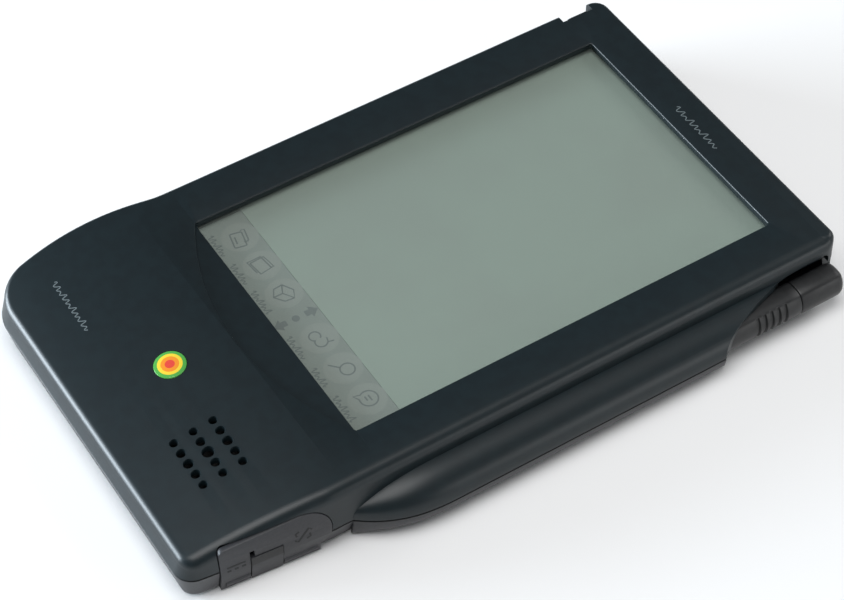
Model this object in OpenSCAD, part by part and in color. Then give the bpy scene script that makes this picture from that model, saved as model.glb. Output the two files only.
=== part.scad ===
// Handheld pen computer: a flat two-shell case with a reflective touch screen,
// a stylus parked in a silo along the right side, a hinged port cover,
// a PC card slot in the top end and a sliding battery door on the back.
// X runs to the right, Y towards the top end, Z out of the screen.

/* [Case] */
// Width of the case between its straight sides, without the silo
body_w = 104; // [102:1:108]
// Length of the case
body_l = 184; // [182:1:188]
// Thickness of the case, without its feet
body_t = 19; // [18.5:0.5:20]
// Wall thickness of both shells
wall = 1.8; // [1.6:0.1:2]
// Height of the joint between the shells, above the back
joint_h = 6.5; // [6:0.1:6.8]
// Plan radius of the two top corners
corner_r = 4; // [3:0.5:5]
// Radius of the edge between the face and the sides
edge_r = 3.2; // [2.4:0.1:3.4]
// How far the left side bows out beside the chin
flare = 2.2; // [1:0.1:3]

/* [Chin] */
// Where the face starts to curve down towards the bottom end
chin_y = -50; // [-54:1:-46]
// Radius of the chin's curve in side view
chin_r = 157; // [140:1:200]

/* [Screen] */
// Width of the window
window_w = 76.8; // [74:0.1:78]
// Length of the window
window_l = 119.6; // [116:0.1:121]
// Height of the window's centre above the middle of the case
window_y = 20; // [19:0.1:21]
// Depth of the glass below the face
glass_depth = 2.1; // [2:0.1:2.4]
// Radius of the arc that bounds the ramp below the window
ramp_r = 76; // [70:1:90]

/* [Silo and stylus] */
// How far the silo stands out from the side of the case
silo_out = 7.9; // [7.6:0.1:8.2]
// Width of the stylus across its flat top
pen_w = 7.6; // [7.2:0.1:7.8]
// Height of the stylus
pen_h = 8; // [7.4:0.1:8]
// Where the stylus ends, towards the top end
pen_end_y = 90.5; // [88:0.5:91]
// Length of the stylus
pen_l = 121; // [116:1:124]

/* [Back] */
// Height of the rubber feet
foot_h = 0.5; // [0.4:0.1:0.6]
// Radius of the rubber feet
foot_r = 5; // [4:0.5:6]

/* [Hidden] */
gap = 0.15;                             // clearance of every moving piece
half_w = body_w / 2;
half_l = body_l / 2;
back_z = foot_h;
joint_z = back_z + joint_h;
face_z = back_z + body_t;
floor_z = back_z + wall;                // inside of the rear shell's floor
roof_z = face_z - wall;                 // inside of the front shell's face
silo_x = half_w + silo_out;
shift_x = (half_w + flare - silo_x) / 2; // puts the origin under the middle of the outline
draft_up = 0.6;                         // how far the sides lean in above the joint
draft_down = 1.3;                       // and below it
case_c = [0.16, 0.19, 0.2];
dark_c = [0.22, 0.23, 0.24];
board_c = [0.05, 0.3, 0.16];
steel_c = [0.7, 0.71, 0.72];
chip_c = [0.08, 0.08, 0.09];

// half the chord of a circle at a distance from its centre
function reach(r, d) = sqrt(max(0, r * r - d * d));

// plan of the case: corners, the bowed left side and the tapered right side
heel_corner = [half_w - 7.8, -half_l + 5];
heel_corner_r = 5;
taper_top_y = -54.5;
taper_low_y = heel_corner[1] + 3;
taper_in = half_w - (heel_corner[0] + heel_corner_r);
taper_a = atan(taper_in / (taper_top_y - taper_low_y));
flare_r = 95;
flare_c = [-half_w - flare + flare_r, -half_l + 27.5];
flare_top_y = flare_c[1] + sqrt(pow(flare_r, 2) - pow(flare_r - flare, 2));
chin_corner_r = 12;                     // rounds the left end of the chin, tangent to the bow
chin_corner_y = -half_l + chin_corner_r;
chin_corner = [flare_c[0] - reach(flare_r - chin_corner_r, chin_corner_y - flare_c[1]), chin_corner_y];
flare_low_y = flare_c[1] + (chin_corner_y - flare_c[1]) * flare_r / (flare_r - chin_corner_r);

function left_x(y, inset = 0) =
    y > half_l - corner_r ? -half_w + corner_r - reach(corner_r - inset, y - half_l + corner_r)
    : y > flare_top_y ? -half_w + inset
    : y > flare_low_y ? flare_c[0] - reach(flare_r - inset, y - flare_c[1])
    : chin_corner[0] - reach(chin_corner_r - inset, y - chin_corner[1]);
function right_x(y, inset = 0) =
    y > half_l - corner_r ? half_w - corner_r + reach(corner_r - inset, y - half_l + corner_r)
    : y > taper_top_y ? half_w - inset
    : y > taper_low_y ? half_w - inset - taper_in * (taper_top_y - y) / (taper_top_y - taper_low_y)
    : min(half_w - taper_in - inset, heel_corner[0] + reach(heel_corner_r - inset, y - heel_corner[1]));

// side view of the face: flat, then the chin's arc, with a rounded edge at each end
function chin_z(y) = y > chin_y ? face_z : face_z - chin_r + reach(chin_r, y - chin_y);
function round_off(d, r) = d >= r ? 0 : r - reach(r, r - d);
function end_drop(y, inset) = round_off(half_l - inset - y, max(0.4, 2.6 - inset))
    + round_off(y + half_l - inset, max(0.4, 1.8 - inset));
function top_z(y, inset = 0) = chin_z(y) - inset - end_drop(y, inset);

// places along Y where the case is cut into sections
function stations(inset) = let (a = -half_l + inset, b = half_l - inset) [
    a, a + 0.25, a + 0.8, a + 1.8, a + 3.4, a + 5.5, a + 8, a + 12, a + 17, a + 23, a + 29, a + 36,
    chin_y + 2, flare_top_y - 0.05, flare_top_y + 0.05, 0, 40, b - 4, b - 2.6, b - 1.6, b - 0.8,
    b - 0.25, b];
steps = 4;                              // facets in each rounded edge
trim = 0.7;                             // length that the front shell's skin is cut back by at the joint
function shell_section(y, inset, low_z) = let (
    r = edge_r - inset * 0.6, z = top_z(y, inset),
    xl = left_x(y, inset), xr = right_x(y, inset), half = (xr - xl) / 2,
    rr = min(r, half * 0.9), lean = draft_up) concat(
    [[xl, y, low_z]],
    [for (k = [0:steps]) let (a = 90 * k / steps)
        [xl + lean + rr * (1 - cos(a)), y, z - rr * (1 - sin(a))]],
    [for (k = [0:steps]) let (a = 90 - 90 * k / steps)
        [xr - lean - rr * (1 - cos(a)), y, z - rr * (1 - sin(a))]],
    [[xr, y, low_z]]);
function tub_section(y, inset, high_z) = let (
    z = back_z + inset + round_off(half_l - inset - abs(y), 1), c = 1.1,
    xl = left_x(y, inset), xr = right_x(y, inset)) [
    [xl, y, high_z], [xr, y, high_z],
    [xr - draft_down * 0.8, y, z + c], [xr - draft_down - c, y, z],
    [xl + draft_down + c, y, z], [xl + draft_down * 0.8, y, z + c]];

// skin over equal sections, with a flat cap at each end
module loft(sections) {
    n = len(sections[0]);
    m = len(sections);
    polyhedron(points = [for (s = sections) each s], faces = concat(
        [[for (k = [0:n - 1]) k]],
        [for (j = [0:m - 2], k = [0:n - 1]) let (l = (k + 1) % n, p = j * n)
            each [[p + k, p + n + k, p + l], [p + l, p + n + k, p + n + l]]],
        [[for (k = [n - 1:-1:0]) (m - 1) * n + k]]));
}
module along_x(x0, x1) translate([x0, 0, 0]) rotate([90, 0, 90]) linear_extrude(x1 - x0) children();
module along_y(y0, y1) translate([0, y1, 0]) rotate([90, 0, 0]) linear_extrude(y1 - y0) children();
module block(low, high) translate(low) cube(high - low);
module rod_z(p, r, z0, z1, fn = 32) translate([p[0], p[1], z0]) cylinder(r = r, h = z1 - z0, $fn = fn);
function arc(c, r, a0, a1, n = 12) =
    [for (k = [0:n]) let (a = a0 + (a1 - a0) * k / n) c + r * [cos(a), sin(a)]];
module round_rect(low, high, r, z0, z1) translate([0, 0, z0]) linear_extrude(z1 - z0)
    polygon(concat(
        arc([high[0] - r, high[1] - r], r, 0, 90, 5), arc([low[0] + r, high[1] - r], r, 90, 180, 5),
        arc([low[0] + r, low[1] + r], r, 180, 270, 5), arc([high[0] - r, low[1] + r], r, 270, 360, 5)));

// silo: a bulge on the right side that holds the stylus
silo_low_y = -49.5;
silo_grow = 25.5;
silo_high_y = 76;
silo_top = 7.4;                         // crest above the joint
silo_root = half_w - 1.95;              // where the silo starts, inside the wall of the case
function silo_share(y) = let (t = (y - silo_low_y) / silo_grow) t >= 1 ? 1 : reach(1, 1 - t);
silo_ys = [silo_low_y + 0.1, silo_low_y + 0.8, -47, -44.5, -41, -37, -32, -24, silo_high_y];
function silo_up(y) = let (
    g = silo_share(y), w = 1 + silo_out * g, h = silo_top * (0.35 + 0.65 * g)) concat(
    [[silo_root, y, joint_z - trim], [silo_root, y, joint_z + h - 0.1]],
    [for (k = [0:6]) let (a = 90 - 15 * k)
        [half_w - 1 + w * cos(a), y, joint_z + h * max(0, sin(a))]],
    [[half_w - 1 + w, y, joint_z - trim]]);
function silo_down(y) = let (w = silo_out * silo_share(y)) [
    [silo_root, y, joint_z], [half_w + w, y, joint_z], [half_w + w * 0.93 - 0.2, y, back_z + 4],
    [half_w - 0.6 + w * 0.86, y, back_z + 1.7], [half_w - 1.5 + w * 0.7, y, back_z + 0.3],
    [silo_root, y, back_z + 0.3]];

// stylus and the space that it slides in
pen_x = half_w - 1.7;                   // inner face of the stylus
pen_z = back_z + 3.5;                   // underside of the stylus
pen_top = pen_z + pen_h;
pen_out = pen_x + pen_w;
pen_tip_y = pen_end_y - pen_l;
function pen_shape(g) = [[pen_x - g, pen_z + 0.8 - g], [pen_x + 0.8 - g, pen_z - g],
    [pen_out - 2 + g, pen_z - g], [pen_out - 0.5 + g, pen_z + 1.4 - g], [pen_out + g, pen_z + 3.4],
    [pen_out - 0.4 + g, pen_z + 5.6 + g], [pen_out - 1.9 + g, pen_top + g], [pen_x - g, pen_top + g]];
bore_end_y = 50;                        // end of the enclosed part of the bore
module stylus_bore() {
    along_y(pen_tip_y - 1.5, half_l + 1) polygon(pen_shape(0.25));
    block([pen_x - 1.3, pen_tip_y - 1.5, pen_z + 1], [pen_x + 1, bore_end_y, pen_top - 0.5]);
}
mouth_z = back_z + 14.4;                // upper edge of the mouth that shows the stylus
module stylus_mouth() along_x(pen_x - 0.4, silo_x + 2) polygon([[73.7, mouth_z], [67, mouth_z - 0.6],
    [62, mouth_z - 1.9], [58, mouth_z - 3.6], [55, mouth_z - 5.6], [53, mouth_z - 8], [52.4, mouth_z - 10],
    [54, mouth_z - 12], [58, mouth_z - 13.2], [61, back_z - 1], [half_l + 1, back_z - 1],
    [half_l + 1, pen_top + 0.3], [89.6, pen_top + 0.3], [89.4, mouth_z - 0.6], [88.6, mouth_z]]);
module under_pen() block([pen_x - 6, bore_end_y, back_z], [half_w - 0.6, half_l - 3, pen_z - 0.25]);

// port cover: a panel on the tapered side, hinged near its lower edge
module at_ports() translate([half_w, taper_top_y, 0]) rotate([0, 0, -taper_a]) children();
cover_low = -28.4;                      // ends of the cover along the side
cover_high = 0;
cover_z = back_z + 0.15;
cover_round_r = 7.6;
hinge = [-1.7, back_z + 1.95];          // x and z of the hinge pin in the side's own frame
hinge_pin_r = 0.7;
lug_r = 1.45;
cover_sweep = 2.3;                      // depth that the cover's lower edge needs as it turns
tab = [-20.8, -12.9];                   // ends of the fixed hinge block
tab_top_z = back_z + 9;
module cover_outline(g, low_z, low_a) let (
    c = [cover_high - cover_round_r - 0.4, joint_z + 2.1], r = cover_round_r + g)
    polygon(concat(
        [[cover_low - g, low_z]],
        arc([cover_low + 1.6, back_z + 13.6], 1.6 + g, 180, 100, 4),
        arc(c, r, 92, low_a, 14),
        [[c[0] + r * cos(low_a) + 0.1, low_z]]));
module cover_wall(proud, thick) polygon([[-1.15 + proud, cover_z - 1], [-0.85 + proud, back_z + 1.6],
    [0.05 + proud, joint_z], [-0.3 + proud, joint_z + 5], [-0.75 + proud, joint_z + 11],
    [-0.75 + proud - thick, joint_z + 11], [-0.3 + proud - thick, joint_z + 5],
    [0.05 + proud - thick, joint_z], [-0.85 + proud - thick, back_z + 1.6],
    [-1.15 + proud - thick, cover_z - 1]]);
module cover_hole() at_ports() along_x(hinge[0] - cover_sweep, 3) cover_outline(0.25, back_z - 1, -45);
module hinge_block() at_ports() difference() {
    intersection() {
        along_y(tab[0], tab[1]) union() {
            cover_wall(0.35, 1.6);
            polygon([[-4.4, back_z + 0.3], [-0.9, back_z + 0.3], [-0.7, back_z + 3],
                [-3.2, back_z + 3], [-4.4, back_z + 1.8]]);
        }
        block([-5, tab[0] - 1, back_z + 0.2], [2, tab[1] + 1, tab_top_z]);
    }
    along_y(tab[0] - 1, tab[1] + 1) translate(hinge) circle(r = hinge_pin_r + 0.03, $fn = 24);
}

// openings that both shells share
slot_low = [-35.9, floor_z + 0.6];      // PC card slot in the top end
slot_high = [19.4, floor_z + 6.2];
button_low = [-43, floor_z + 0.5];      // hole for the eject button
button_high = [-38.2, floor_z + 5.6];
module end_openings() {
    block([slot_low[0], half_l - 5, slot_low[1]], [slot_high[0], half_l + 1, slot_high[1]]);
    block([button_low[0], half_l - 5, button_low[1]], [button_high[0], half_l + 1, button_high[1]]);
}
screw_spots = [[45.4, 78], [45.4, -36], [-46.3, 68], [-46.3, -34]];
foot_spots = [for (x = [-36, 36], y = [82, -38]) [x, y]];
reset_spot = [20, -38.2];

// speaker grille and badge on the chin
grille = [24.4, -71.43];
function grille_r(col, row) = col == 0 && row == 0 ? 1.4 : 1.15 - 0.1 * abs(col);
badge_spot = [-2.6, -66.6];
badge_r = 4;
badge_t = 0.9;
badge_a = asin((chin_y - badge_spot[1]) / chin_r);
module at_badge()
    translate([badge_spot[0], badge_spot[1], chin_z(badge_spot[1])]) rotate([badge_a, 0, 0]) children();

// window and the ramp below it
win_low = [-window_w / 2, window_y - window_l / 2];
win_high = [window_w / 2, window_y + window_l / 2];
glass_z = face_z - glass_depth;
ramp_depth = 10.5;
module window_cut() {
    round_rect(win_low, win_high, 0.8, roof_z - 1, face_z + 1);
    intersection() {
        rod_z([0, win_low[1] - ramp_depth + ramp_r], ramp_r, roof_z - 1, face_z + 2, 128);
        translate([0, win_low[1], face_z - 1.3]) rotate([-4.5, 0, 0]) block([-half_w, -20, 0], [half_w, 1, 6]);
        block([-half_w, -60, roof_z - 2], [half_w, win_low[1] + 0.5, face_z + 3]);
    }
}

// left side: recess of the power slider, slot of the contrast wheel
slider_y = [78.2, 87.6];
wheel = [-half_w + 4.4, 40];
wheel_r = 5.6;
wheel_z = [back_z + 9.9, back_z + 11.9];
module slider_profile(points) along_y(slider_y[0], slider_y[1]) polygon(points);
module slider_scoop() slider_profile([[-half_w - 2, back_z + 8.6], [-half_w + 1.05, back_z + 9.4],
    [-half_w + 1.05, back_z + 14], [-half_w + 3, face_z + 0.1], [-half_w + 3, face_z + 1],
    [-half_w - 2, face_z + 1]]);
module slider_boss()
    block([-half_w + 1, slider_y[0] - 1.2, back_z + 13.6], [-half_w + 5, slider_y[1] + 1.2, roof_z + 0.2]);
module left_openings() {
    slider_scoop();
    block([-half_w - 1, 79, back_z + 11.3], [-half_w + 2.6, 85.4, back_z + 13.5]);
    block([-half_w - 1, wheel[1] - 5.4, wheel_z[0] - 0.3], [-half_w + 4, wheel[1] + 5.4, wheel_z[1] + 0.3]);
}
ir_low = [27, back_z + 8.5];
ir_high = [41, back_z + 14];
module ir_cut() block([ir_low[0], half_l - 5, ir_low[1]], [ir_high[0], half_l + 1, ir_high[1]]);

module front_shell() color(case_c) {
    difference() {
        union() {
            difference() {
                union() {
                    loft([for (y = stations(0)) shell_section(y, 0, joint_z - trim)]);
                    loft([for (y = silo_ys) silo_up(y)]);
                }
                loft([for (y = stations(wall)) shell_section(y, wall, joint_z - 1)]);
                block([-80, -120, joint_z - 2], [80, 120, joint_z]);
            }
            slider_boss();
        }
        stylus_bore();
        stylus_mouth();
        window_cut();
        cover_hole();
        end_openings();
        left_openings();
        ir_cut();
        at_badge() rod_z([0, 0], badge_r + 0.05, -badge_t, 2, 48);
        for (col = [-2:2], row = [-1:1])
            rod_z(grille + [3.5 * col, 5.25 * row], grille_r(col, row), 10, face_z + 1, 20);
    }
    for (p = screw_spots) difference() {
        rod_z(p, 2.3, joint_z + 0.4, roof_z + 0.2);
        rod_z(p, 1.1, joint_z, roof_z - 2);
    }
}

// battery bay and its sliding door in the back
door_low = [-half_w - 3, -86];
door_high = [23, -46];
door_step_z = back_z + 0.8;             // level where the door widens into tongues
tongue = 1;
module door_plan(grow_y, grow_x, z0, z1) intersection() {
    loft([for (y = stations(0)) tub_section(y, 0, joint_z)]);
    block([door_low[0], door_low[1] - grow_y, z0], [door_high[0] + grow_x, door_high[1] + grow_y, z1]);
}
module door_cut() {
    block([door_low[0], door_low[1], back_z - 1], [door_high[0], door_high[1], door_step_z + 0.1]);
    block([door_low[0], door_low[1] - tongue, door_step_z],
        [door_high[0] + tongue, door_high[1] + tongue, floor_z + 0.1]);
}
module battery_door() color(case_c) difference() {
    union() {
        door_plan(-gap, -gap, back_z - 1, door_step_z + 0.1);
        door_plan(tongue - gap, tongue - gap, door_step_z + gap, floor_z - 0.05);
        door_plan(-1, -1, back_z + 0.2, floor_z - 0.2);
    }
    for (k = [0:4]) block([-46 + 1.6 * k, -74, back_z - 1], [-45.2 + 1.6 * k, -58, back_z + 0.4]);
}
module rear_shell() color(case_c) {
    difference() {
        union() {
            difference() {
                union() {
                    loft([for (y = stations(0)) tub_section(y, 0, joint_z)]);
                    loft([for (y = silo_ys) silo_down(y)]);
                }
                loft([for (y = stations(wall)) tub_section(y, wall, joint_z + 1)]);
            }
            under_pen();
            for (p = screw_spots) rod_z(p, 2.9, floor_z - 0.5, joint_z + 0.2);
        }
        stylus_bore();
        stylus_mouth();
        cover_hole();
        end_openings();
        door_cut();
        for (p = screw_spots) {
            rod_z(p, 1.25, back_z - 1, joint_z + 1);
            rod_z(p, 2.4, back_z - 1, back_z + 1.6);
        }
        for (p = foot_spots) rod_z(p, foot_r + 0.1, back_z - 1, back_z + 0.5);
        round_rect([-25, -8], [25, 34], 2, back_z - 1, back_z + 0.2);
        rod_z(reset_spot, 1.2, back_z - 1, floor_z + 1);
    }
    hinge_block();
    block([-49.8, -44.7, floor_z], [24, -43.5, joint_z - 0.2]);     // walls of the battery bay
    block([-0.7, -88.5, floor_z], [0.4, -44.6, joint_z + 1]);
    block([23.6, -80, floor_z], [24.6, -43.5, joint_z - 2]);
}

module window_gasket() color(chip_c) difference() {
    round_rect(win_low - [2.8, 1.2], win_high + [2.8, 2.4], 1, glass_z + 0.02, roof_z - 0.02);
    round_rect(win_low - [0.5, 0.2], win_high + [0.5, 0.5], 0.8, glass_z - 1, roof_z + 1);
}
glass_t = 1.5;
glass_low_z = glass_z - glass_t;
module touch_glass() color([0.75, 0.8, 0.78, 0.5])
    round_rect(win_low - [3.1, 1.4], win_high + [3.1, 2.7], 1, glass_low_z, glass_z);
strip_y = -26.9;                        // where the display ends and the printed strip starts
film_t = 0.15;
module icon_film() color([0.56, 0.59, 0.57])
    block([win_low[0] - 0.6, win_low[1] - 0.8, glass_low_z - film_t],
        [win_high[0] + 0.6, strip_y, glass_low_z]);
module strip_backer() color(dark_c)
    block([win_low[0] - 1, win_low[1] - 0.6, glass_low_z - 2.4],
        [win_high[0] + 1, strip_y - 0.2, glass_low_z - film_t]);
module lcd_panel() color([0.56, 0.62, 0.57])
    block([win_low[0] - 1.6, strip_y + 0.1, glass_low_z - 2.4],
        [win_high[0] + 1.6, win_high[1] + 1.6, glass_low_z]);
frame_z = glass_low_z - 3.1;
module lcd_frame() color(steel_c) difference() {
    block([win_low[0] - 3.4, win_low[1] - 1.8, frame_z],
        [win_high[0] + 3.4, win_high[1] + 3, glass_low_z - 0.1]);
    block([win_low[0] - 2.6, win_low[1] - 1, frame_z + 0.6], [win_high[0] + 2.6, win_high[1] + 2.2, glass_z]);
}
board_z = [back_z + 9.7, back_z + 11.1];
module lcd_ribbon() color([0.75, 0.45, 0.15])
    block([-20, win_low[1] - 2.1, board_z[1]], [20, win_low[1] - 1.8, glass_low_z - 0.4]);

module main_board() color(board_c) difference() {
    union() {
        block([-41, -42.3, board_z[0]], [42.4, 87, board_z[1]]);
        block([-47, 71.6, board_z[0]], [-40, 87, board_z[1]]);
    }
    for (p = board_spots) rod_z(p, 1.3, board_z[0] - 1, board_z[1] + 1);
}
board_spots = [[-38, -38], [39, -38], [-38.5, 84], [39, 66]];
module processor_chip() color(chip_c) block([-34, -30, board_z[0] - 2.8], [-11, -7, board_z[0]]);
module logic_chip() color(chip_c) block([-4, -32, board_z[0] - 2.8], [23, -5, board_z[0]]);
module ram_chips() color(chip_c) for (k = [0:3])
    block([-33 + 17 * k, -3.2, board_z[0] - 1.2], [-19 + 17 * k, 3.2, board_z[0]]);
module rf_shield() color(steel_c) difference() {
    block([-36, -34, board_z[0] - 3.6], [26, -4, board_z[0]]);
    block([-35.7, -33.7, board_z[0] - 3.3], [25.7, -4.3, board_z[0] + 1]);
}
module rom_board() color(board_c) block([27, 8, back_z + 5.9], [46.5, 58, back_z + 6.9]);
module rom_chips() color(chip_c) for (k = [0:3])
    block([31.5, 10 + 12 * k, back_z + 6.9], [44.5, 19 + 12 * k, back_z + 8.6]);
module rom_header() color(chip_c) block([27.3, 12, back_z + 6.9], [30, 54, board_z[0]]);

cage_low = [slot_low[0] - 0.5, 6, slot_low[1] - 0.4];
cage_high = [slot_high[0] + 0.5, half_l - 2.5, slot_high[1] + 0.4];
lever_pivot = [-8.2, 10];
lever_z = [cage_high[2] + 0.15, cage_high[2] + 0.75];
module card_cage() color(steel_c) {
    difference() {
        block(cage_low, cage_high);
        block([slot_low[0], cage_low[1] + 0.5, slot_low[1]], [slot_high[0], cage_high[1] + 1, slot_high[1]]);
        block([13.6, 10.5, slot_high[1] - 1], [17.2, 17.4, cage_high[2] + 1]);
    }
    rod_z(lever_pivot, 1, cage_high[2] - 0.2, lever_z[1]);
}
module card_header() color(chip_c) {
    block([slot_low[0] + 1, 6.5, slot_low[1] + 0.2], [slot_high[0] - 1, 10.5, slot_high[1] - 0.2]);
    for (k = [0:33], row = [0, 1])
        translate([-29.2 + 1.27 * k, 10.4, slot_low[1] + 2 + 1.27 * row]) cube([0.44, 3.5, 0.44]);
}
rod_x = -38.6;
module eject_button() color(case_c) {
    block([button_low[0] + gap, half_l - 4.5, button_low[1] + gap],
        [button_high[0] - gap, half_l - 0.5, button_high[1] - gap]);
    block([rod_x - 0.8, 9, slot_low[1] + 1.6], [rod_x + 0.8, half_l - 4, slot_low[1] + 4]);
    rod_z([rod_x, lever_pivot[1]], 0.7, slot_low[1] + 3.5, lever_z[1]);
}
module eject_lever() color(steel_c) difference() {
    union() {
        block([rod_x - 1.6, lever_pivot[1] - 1.8, lever_z[0]], [16.4, lever_pivot[1] + 1.8, lever_z[1]]);
        block([14.2, lever_pivot[1] + 0.8, slot_low[1] + 2.4], [16.4, lever_pivot[1] + 1.8, lever_z[1]]);
        rod_z(lever_pivot, 3, lever_z[0], lever_z[1]);
    }
    rod_z(lever_pivot, 1.06, lever_z[0] - 1, lever_z[1] + 1);
    block([rod_x - 2, lever_pivot[1] - 0.9, lever_z[0] - 1],
        [rod_x + 1.4, lever_pivot[1] + 0.9, lever_z[1] + 1]);
}

speaker_r = 12;
speaker_z = [back_z + 8.6, back_z + 12.2];
module speaker() color(dark_c) difference() {
    union() {
        rod_z(grille, speaker_r, speaker_z[1] - 1.4, speaker_z[1], 48);
        rod_z(grille, 8, speaker_z[0], speaker_z[1] - 1.3, 40);
    }
    translate([grille[0], grille[1], speaker_z[1] - 1]) cylinder(r1 = 3, r2 = 11, h = 1.1, $fn = 40);
}
module speaker_cloth() color(chip_c) rod_z(grille, 10.5, speaker_z[1] + 0.05, speaker_z[1] + 0.25, 40);
module ir_window() color([0.25, 0.02, 0.05])
    block([ir_low[0] + 0.05, half_l - 1.7, ir_low[1] + 0.05],
        [ir_high[0] - 0.05, half_l - 0.35, ir_high[1] - 0.05]);
module ir_transceiver() color(chip_c) {
    block([29, half_l - 7.4, board_z[1]], [39, half_l - 3.6, board_z[1] + 2.6]);
    for (x = [31.5, 36.5])
        translate([x, half_l - 3.7, board_z[1] + 1.3]) rotate([-90, 0, 0]) cylinder(r = 1.1, h = 1.2, $fn = 24);
}

module port_board() color(board_c) at_ports() block([-14, -28, floor_z + 0.1], [-4.5, 1, floor_z + 1.2]);
port_z = floor_z + 1.2;
serial_at = [-6.9, port_z + 5.5];       // y and z of the socket's axis in the side's frame
dc_at = [-24.4, port_z + 4];
module port_shroud() color(case_c) at_ports() difference() {
    block([-4.1, -27.9, back_z + 3.3], [-3.5, -0.6, back_z + 13.7]);
    along_x(-6, 0) translate(serial_at) circle(r = 4.9, $fn = 40);
    along_x(-6, 0) translate(dc_at) circle(r = 3.3, $fn = 32);
}
module serial_port() color(chip_c) at_ports() {
    difference() {
        block([-13.5, serial_at[0] - 6, port_z], [-4.15, serial_at[0] + 6, port_z + 11]);
        along_x(-11, 0) translate(serial_at) circle(r = 4.7, $fn = 40);
    }
    along_x(-11.5, -9.4) translate(serial_at) square([2.4, 1.6], center = true);
}
module dc_jack() color(chip_c) at_ports() {
    difference() {
        block([-13.5, dc_at[0] - 3.4, port_z], [-4.15, dc_at[0] + 4.4, port_z + 8]);
        along_x(-12, 0) translate(dc_at) circle(r = 2.8, $fn = 32);
    }
    along_x(-12.5, -5) translate(dc_at) circle(r = 0.9, $fn = 20);
}
module port_cover() color(case_c) at_ports() difference() {
    union() {
        intersection() {
            along_y(cover_low - 1, cover_high + 1) cover_wall(0.2, 1.5);
            along_x(-4, 2) cover_outline(0, cover_z, -52);
        }
        for (ends = [[cover_low + 1.2, tab[0] - 0.3], [tab[1] + 0.3, -4]])
            along_y(ends[0], ends[1]) translate(hinge) circle(r = lug_r, $fn = 28);
    }
    block([-5, tab[0] - gap, back_z - 1], [2, tab[1] + gap, tab_top_z + gap]);
    block([-4, tab[0] - gap, tab_top_z], [2, tab[0] + 1, tab_top_z + 2.2]);
    along_y(cover_low, cover_high) translate(hinge) circle(r = hinge_pin_r + 0.05, $fn = 24);
}
module port_cover_pin() color(steel_c) at_ports()
    along_y(cover_low + 1.4, -4.2) translate(hinge) circle(r = hinge_pin_r, $fn = 24);

module power_slider() color(dark_c) {
    along_y(81.4, 86.8) polygon([[-half_w - 0.3, back_z + 10.4], [-half_w + 0.9, back_z + 10.4],
        [-half_w + 0.9, back_z + 14.1], [-half_w + 1.95, back_z + 16.9], [-half_w + 1.4, back_z + 17.5],
        [-half_w + 0.4, back_z + 16.2], [-half_w - 0.2, back_z + 14]]);
    block([-half_w + 0.8, 82.2, back_z + 11.5], [-half_w + 2.9, 84.8, back_z + 13.3]);
    block([-half_w + 2.75, 81.6, back_z + 11.5], [-half_w + 3.5, 85.6, back_z + 13.3]);
    block([-half_w + 2.75, 82, back_z + 11.5], [-half_w + 8.6, 83.2, back_z + 13.3]);
}
module power_switch() color(steel_c) {
    block([-half_w + 5.4, 72.6, board_z[1]], [-half_w + 9.4, 78, board_z[1] + 3.2]);
    translate([-half_w + 7.4, 77.9, board_z[1] + 1.3]) rotate([-90, 0, 0]) cylinder(r = 0.9, h = 1.3, $fn = 24);
}
module contrast_wheel() color(dark_c) difference() {
    rod_z(wheel, wheel_r, wheel_z[0], wheel_z[1], 60);
    for (k = [0:23]) rotate_about(wheel, 15 * k)
        rod_z(wheel + [wheel_r + 0.25, 0], 0.45, wheel_z[0] - 1, wheel_z[1] + 1, 16);
    rod_z(wheel, 1.06, wheel_z[0] - 1, wheel_z[1] + 1);
}
module rotate_about(c, a) translate(c) rotate([0, 0, a]) translate(-c) children();
module contrast_pot() color(board_c) {
    block([wheel[0] - 1.8, wheel[1] - 3.5, board_z[0] - 2.4], [-40.6, wheel[1] + 3.5, board_z[0] - 0.05]);
    rod_z(wheel, 1, board_z[0] - 0.5, wheel_z[1]);
}

cell_r = 5.25;
cell_l = 44.5;
cell_low_x = -46.6;
cell_z = floor_z + 0.3 + cell_r;
cell_ys = [-82.4, -71.7, -61, -50.3];
module battery_cells() color([0.75, 0.6, 0.2]) for (k = [0:3]) let (y = cell_ys[k], s = k % 2)
    translate([cell_low_x, y, cell_z]) rotate([0, 90, 0]) {
        translate([0, 0, s ? 1 : 0]) cylinder(r = cell_r, h = cell_l - 1, $fn = 40);
        translate([0, 0, s ? 0 : cell_l - 1.1]) cylinder(r = 1.9, h = 1.1, $fn = 24);
    }
module battery_contacts() color(steel_c) for (y = cell_ys, side = [0, 1])
    translate([side ? cell_low_x + cell_l + 0.05 : cell_low_x - 1, y, cell_z]) rotate([0, 90, 0]) {
        translate([-3.2, -3.2, side ? 0.35 : 0]) cube([6.4, 6.4, 0.35]);
        translate([0, 0, side ? 0 : 0.3]) cylinder(r = 2.2, h = side ? 0.4 : 0.65, $fn = 24);
    }
backup_spot = [12.5, -61];
module backup_cell() color(steel_c) {
    rod_z(backup_spot, 10, floor_z + 1.4, floor_z + 4.6, 60);
    rod_z(backup_spot, 8.6, floor_z + 1.1, floor_z + 1.5, 48);
}
module backup_holder() color(chip_c) difference() {
    rod_z(backup_spot, 11, floor_z + 1.6, floor_z + 5.6, 60);
    rod_z(backup_spot, 10.05, floor_z, floor_z + 4.65, 60);
}
module reset_button() color([0.75, 0.75, 0.72]) {
    rod_z(reset_spot, 1.05, back_z + 0.5, back_z + 6.6, 28);
    rod_z(reset_spot, 1.9, floor_z + 0.1, floor_z + 0.7, 28);
}
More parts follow.
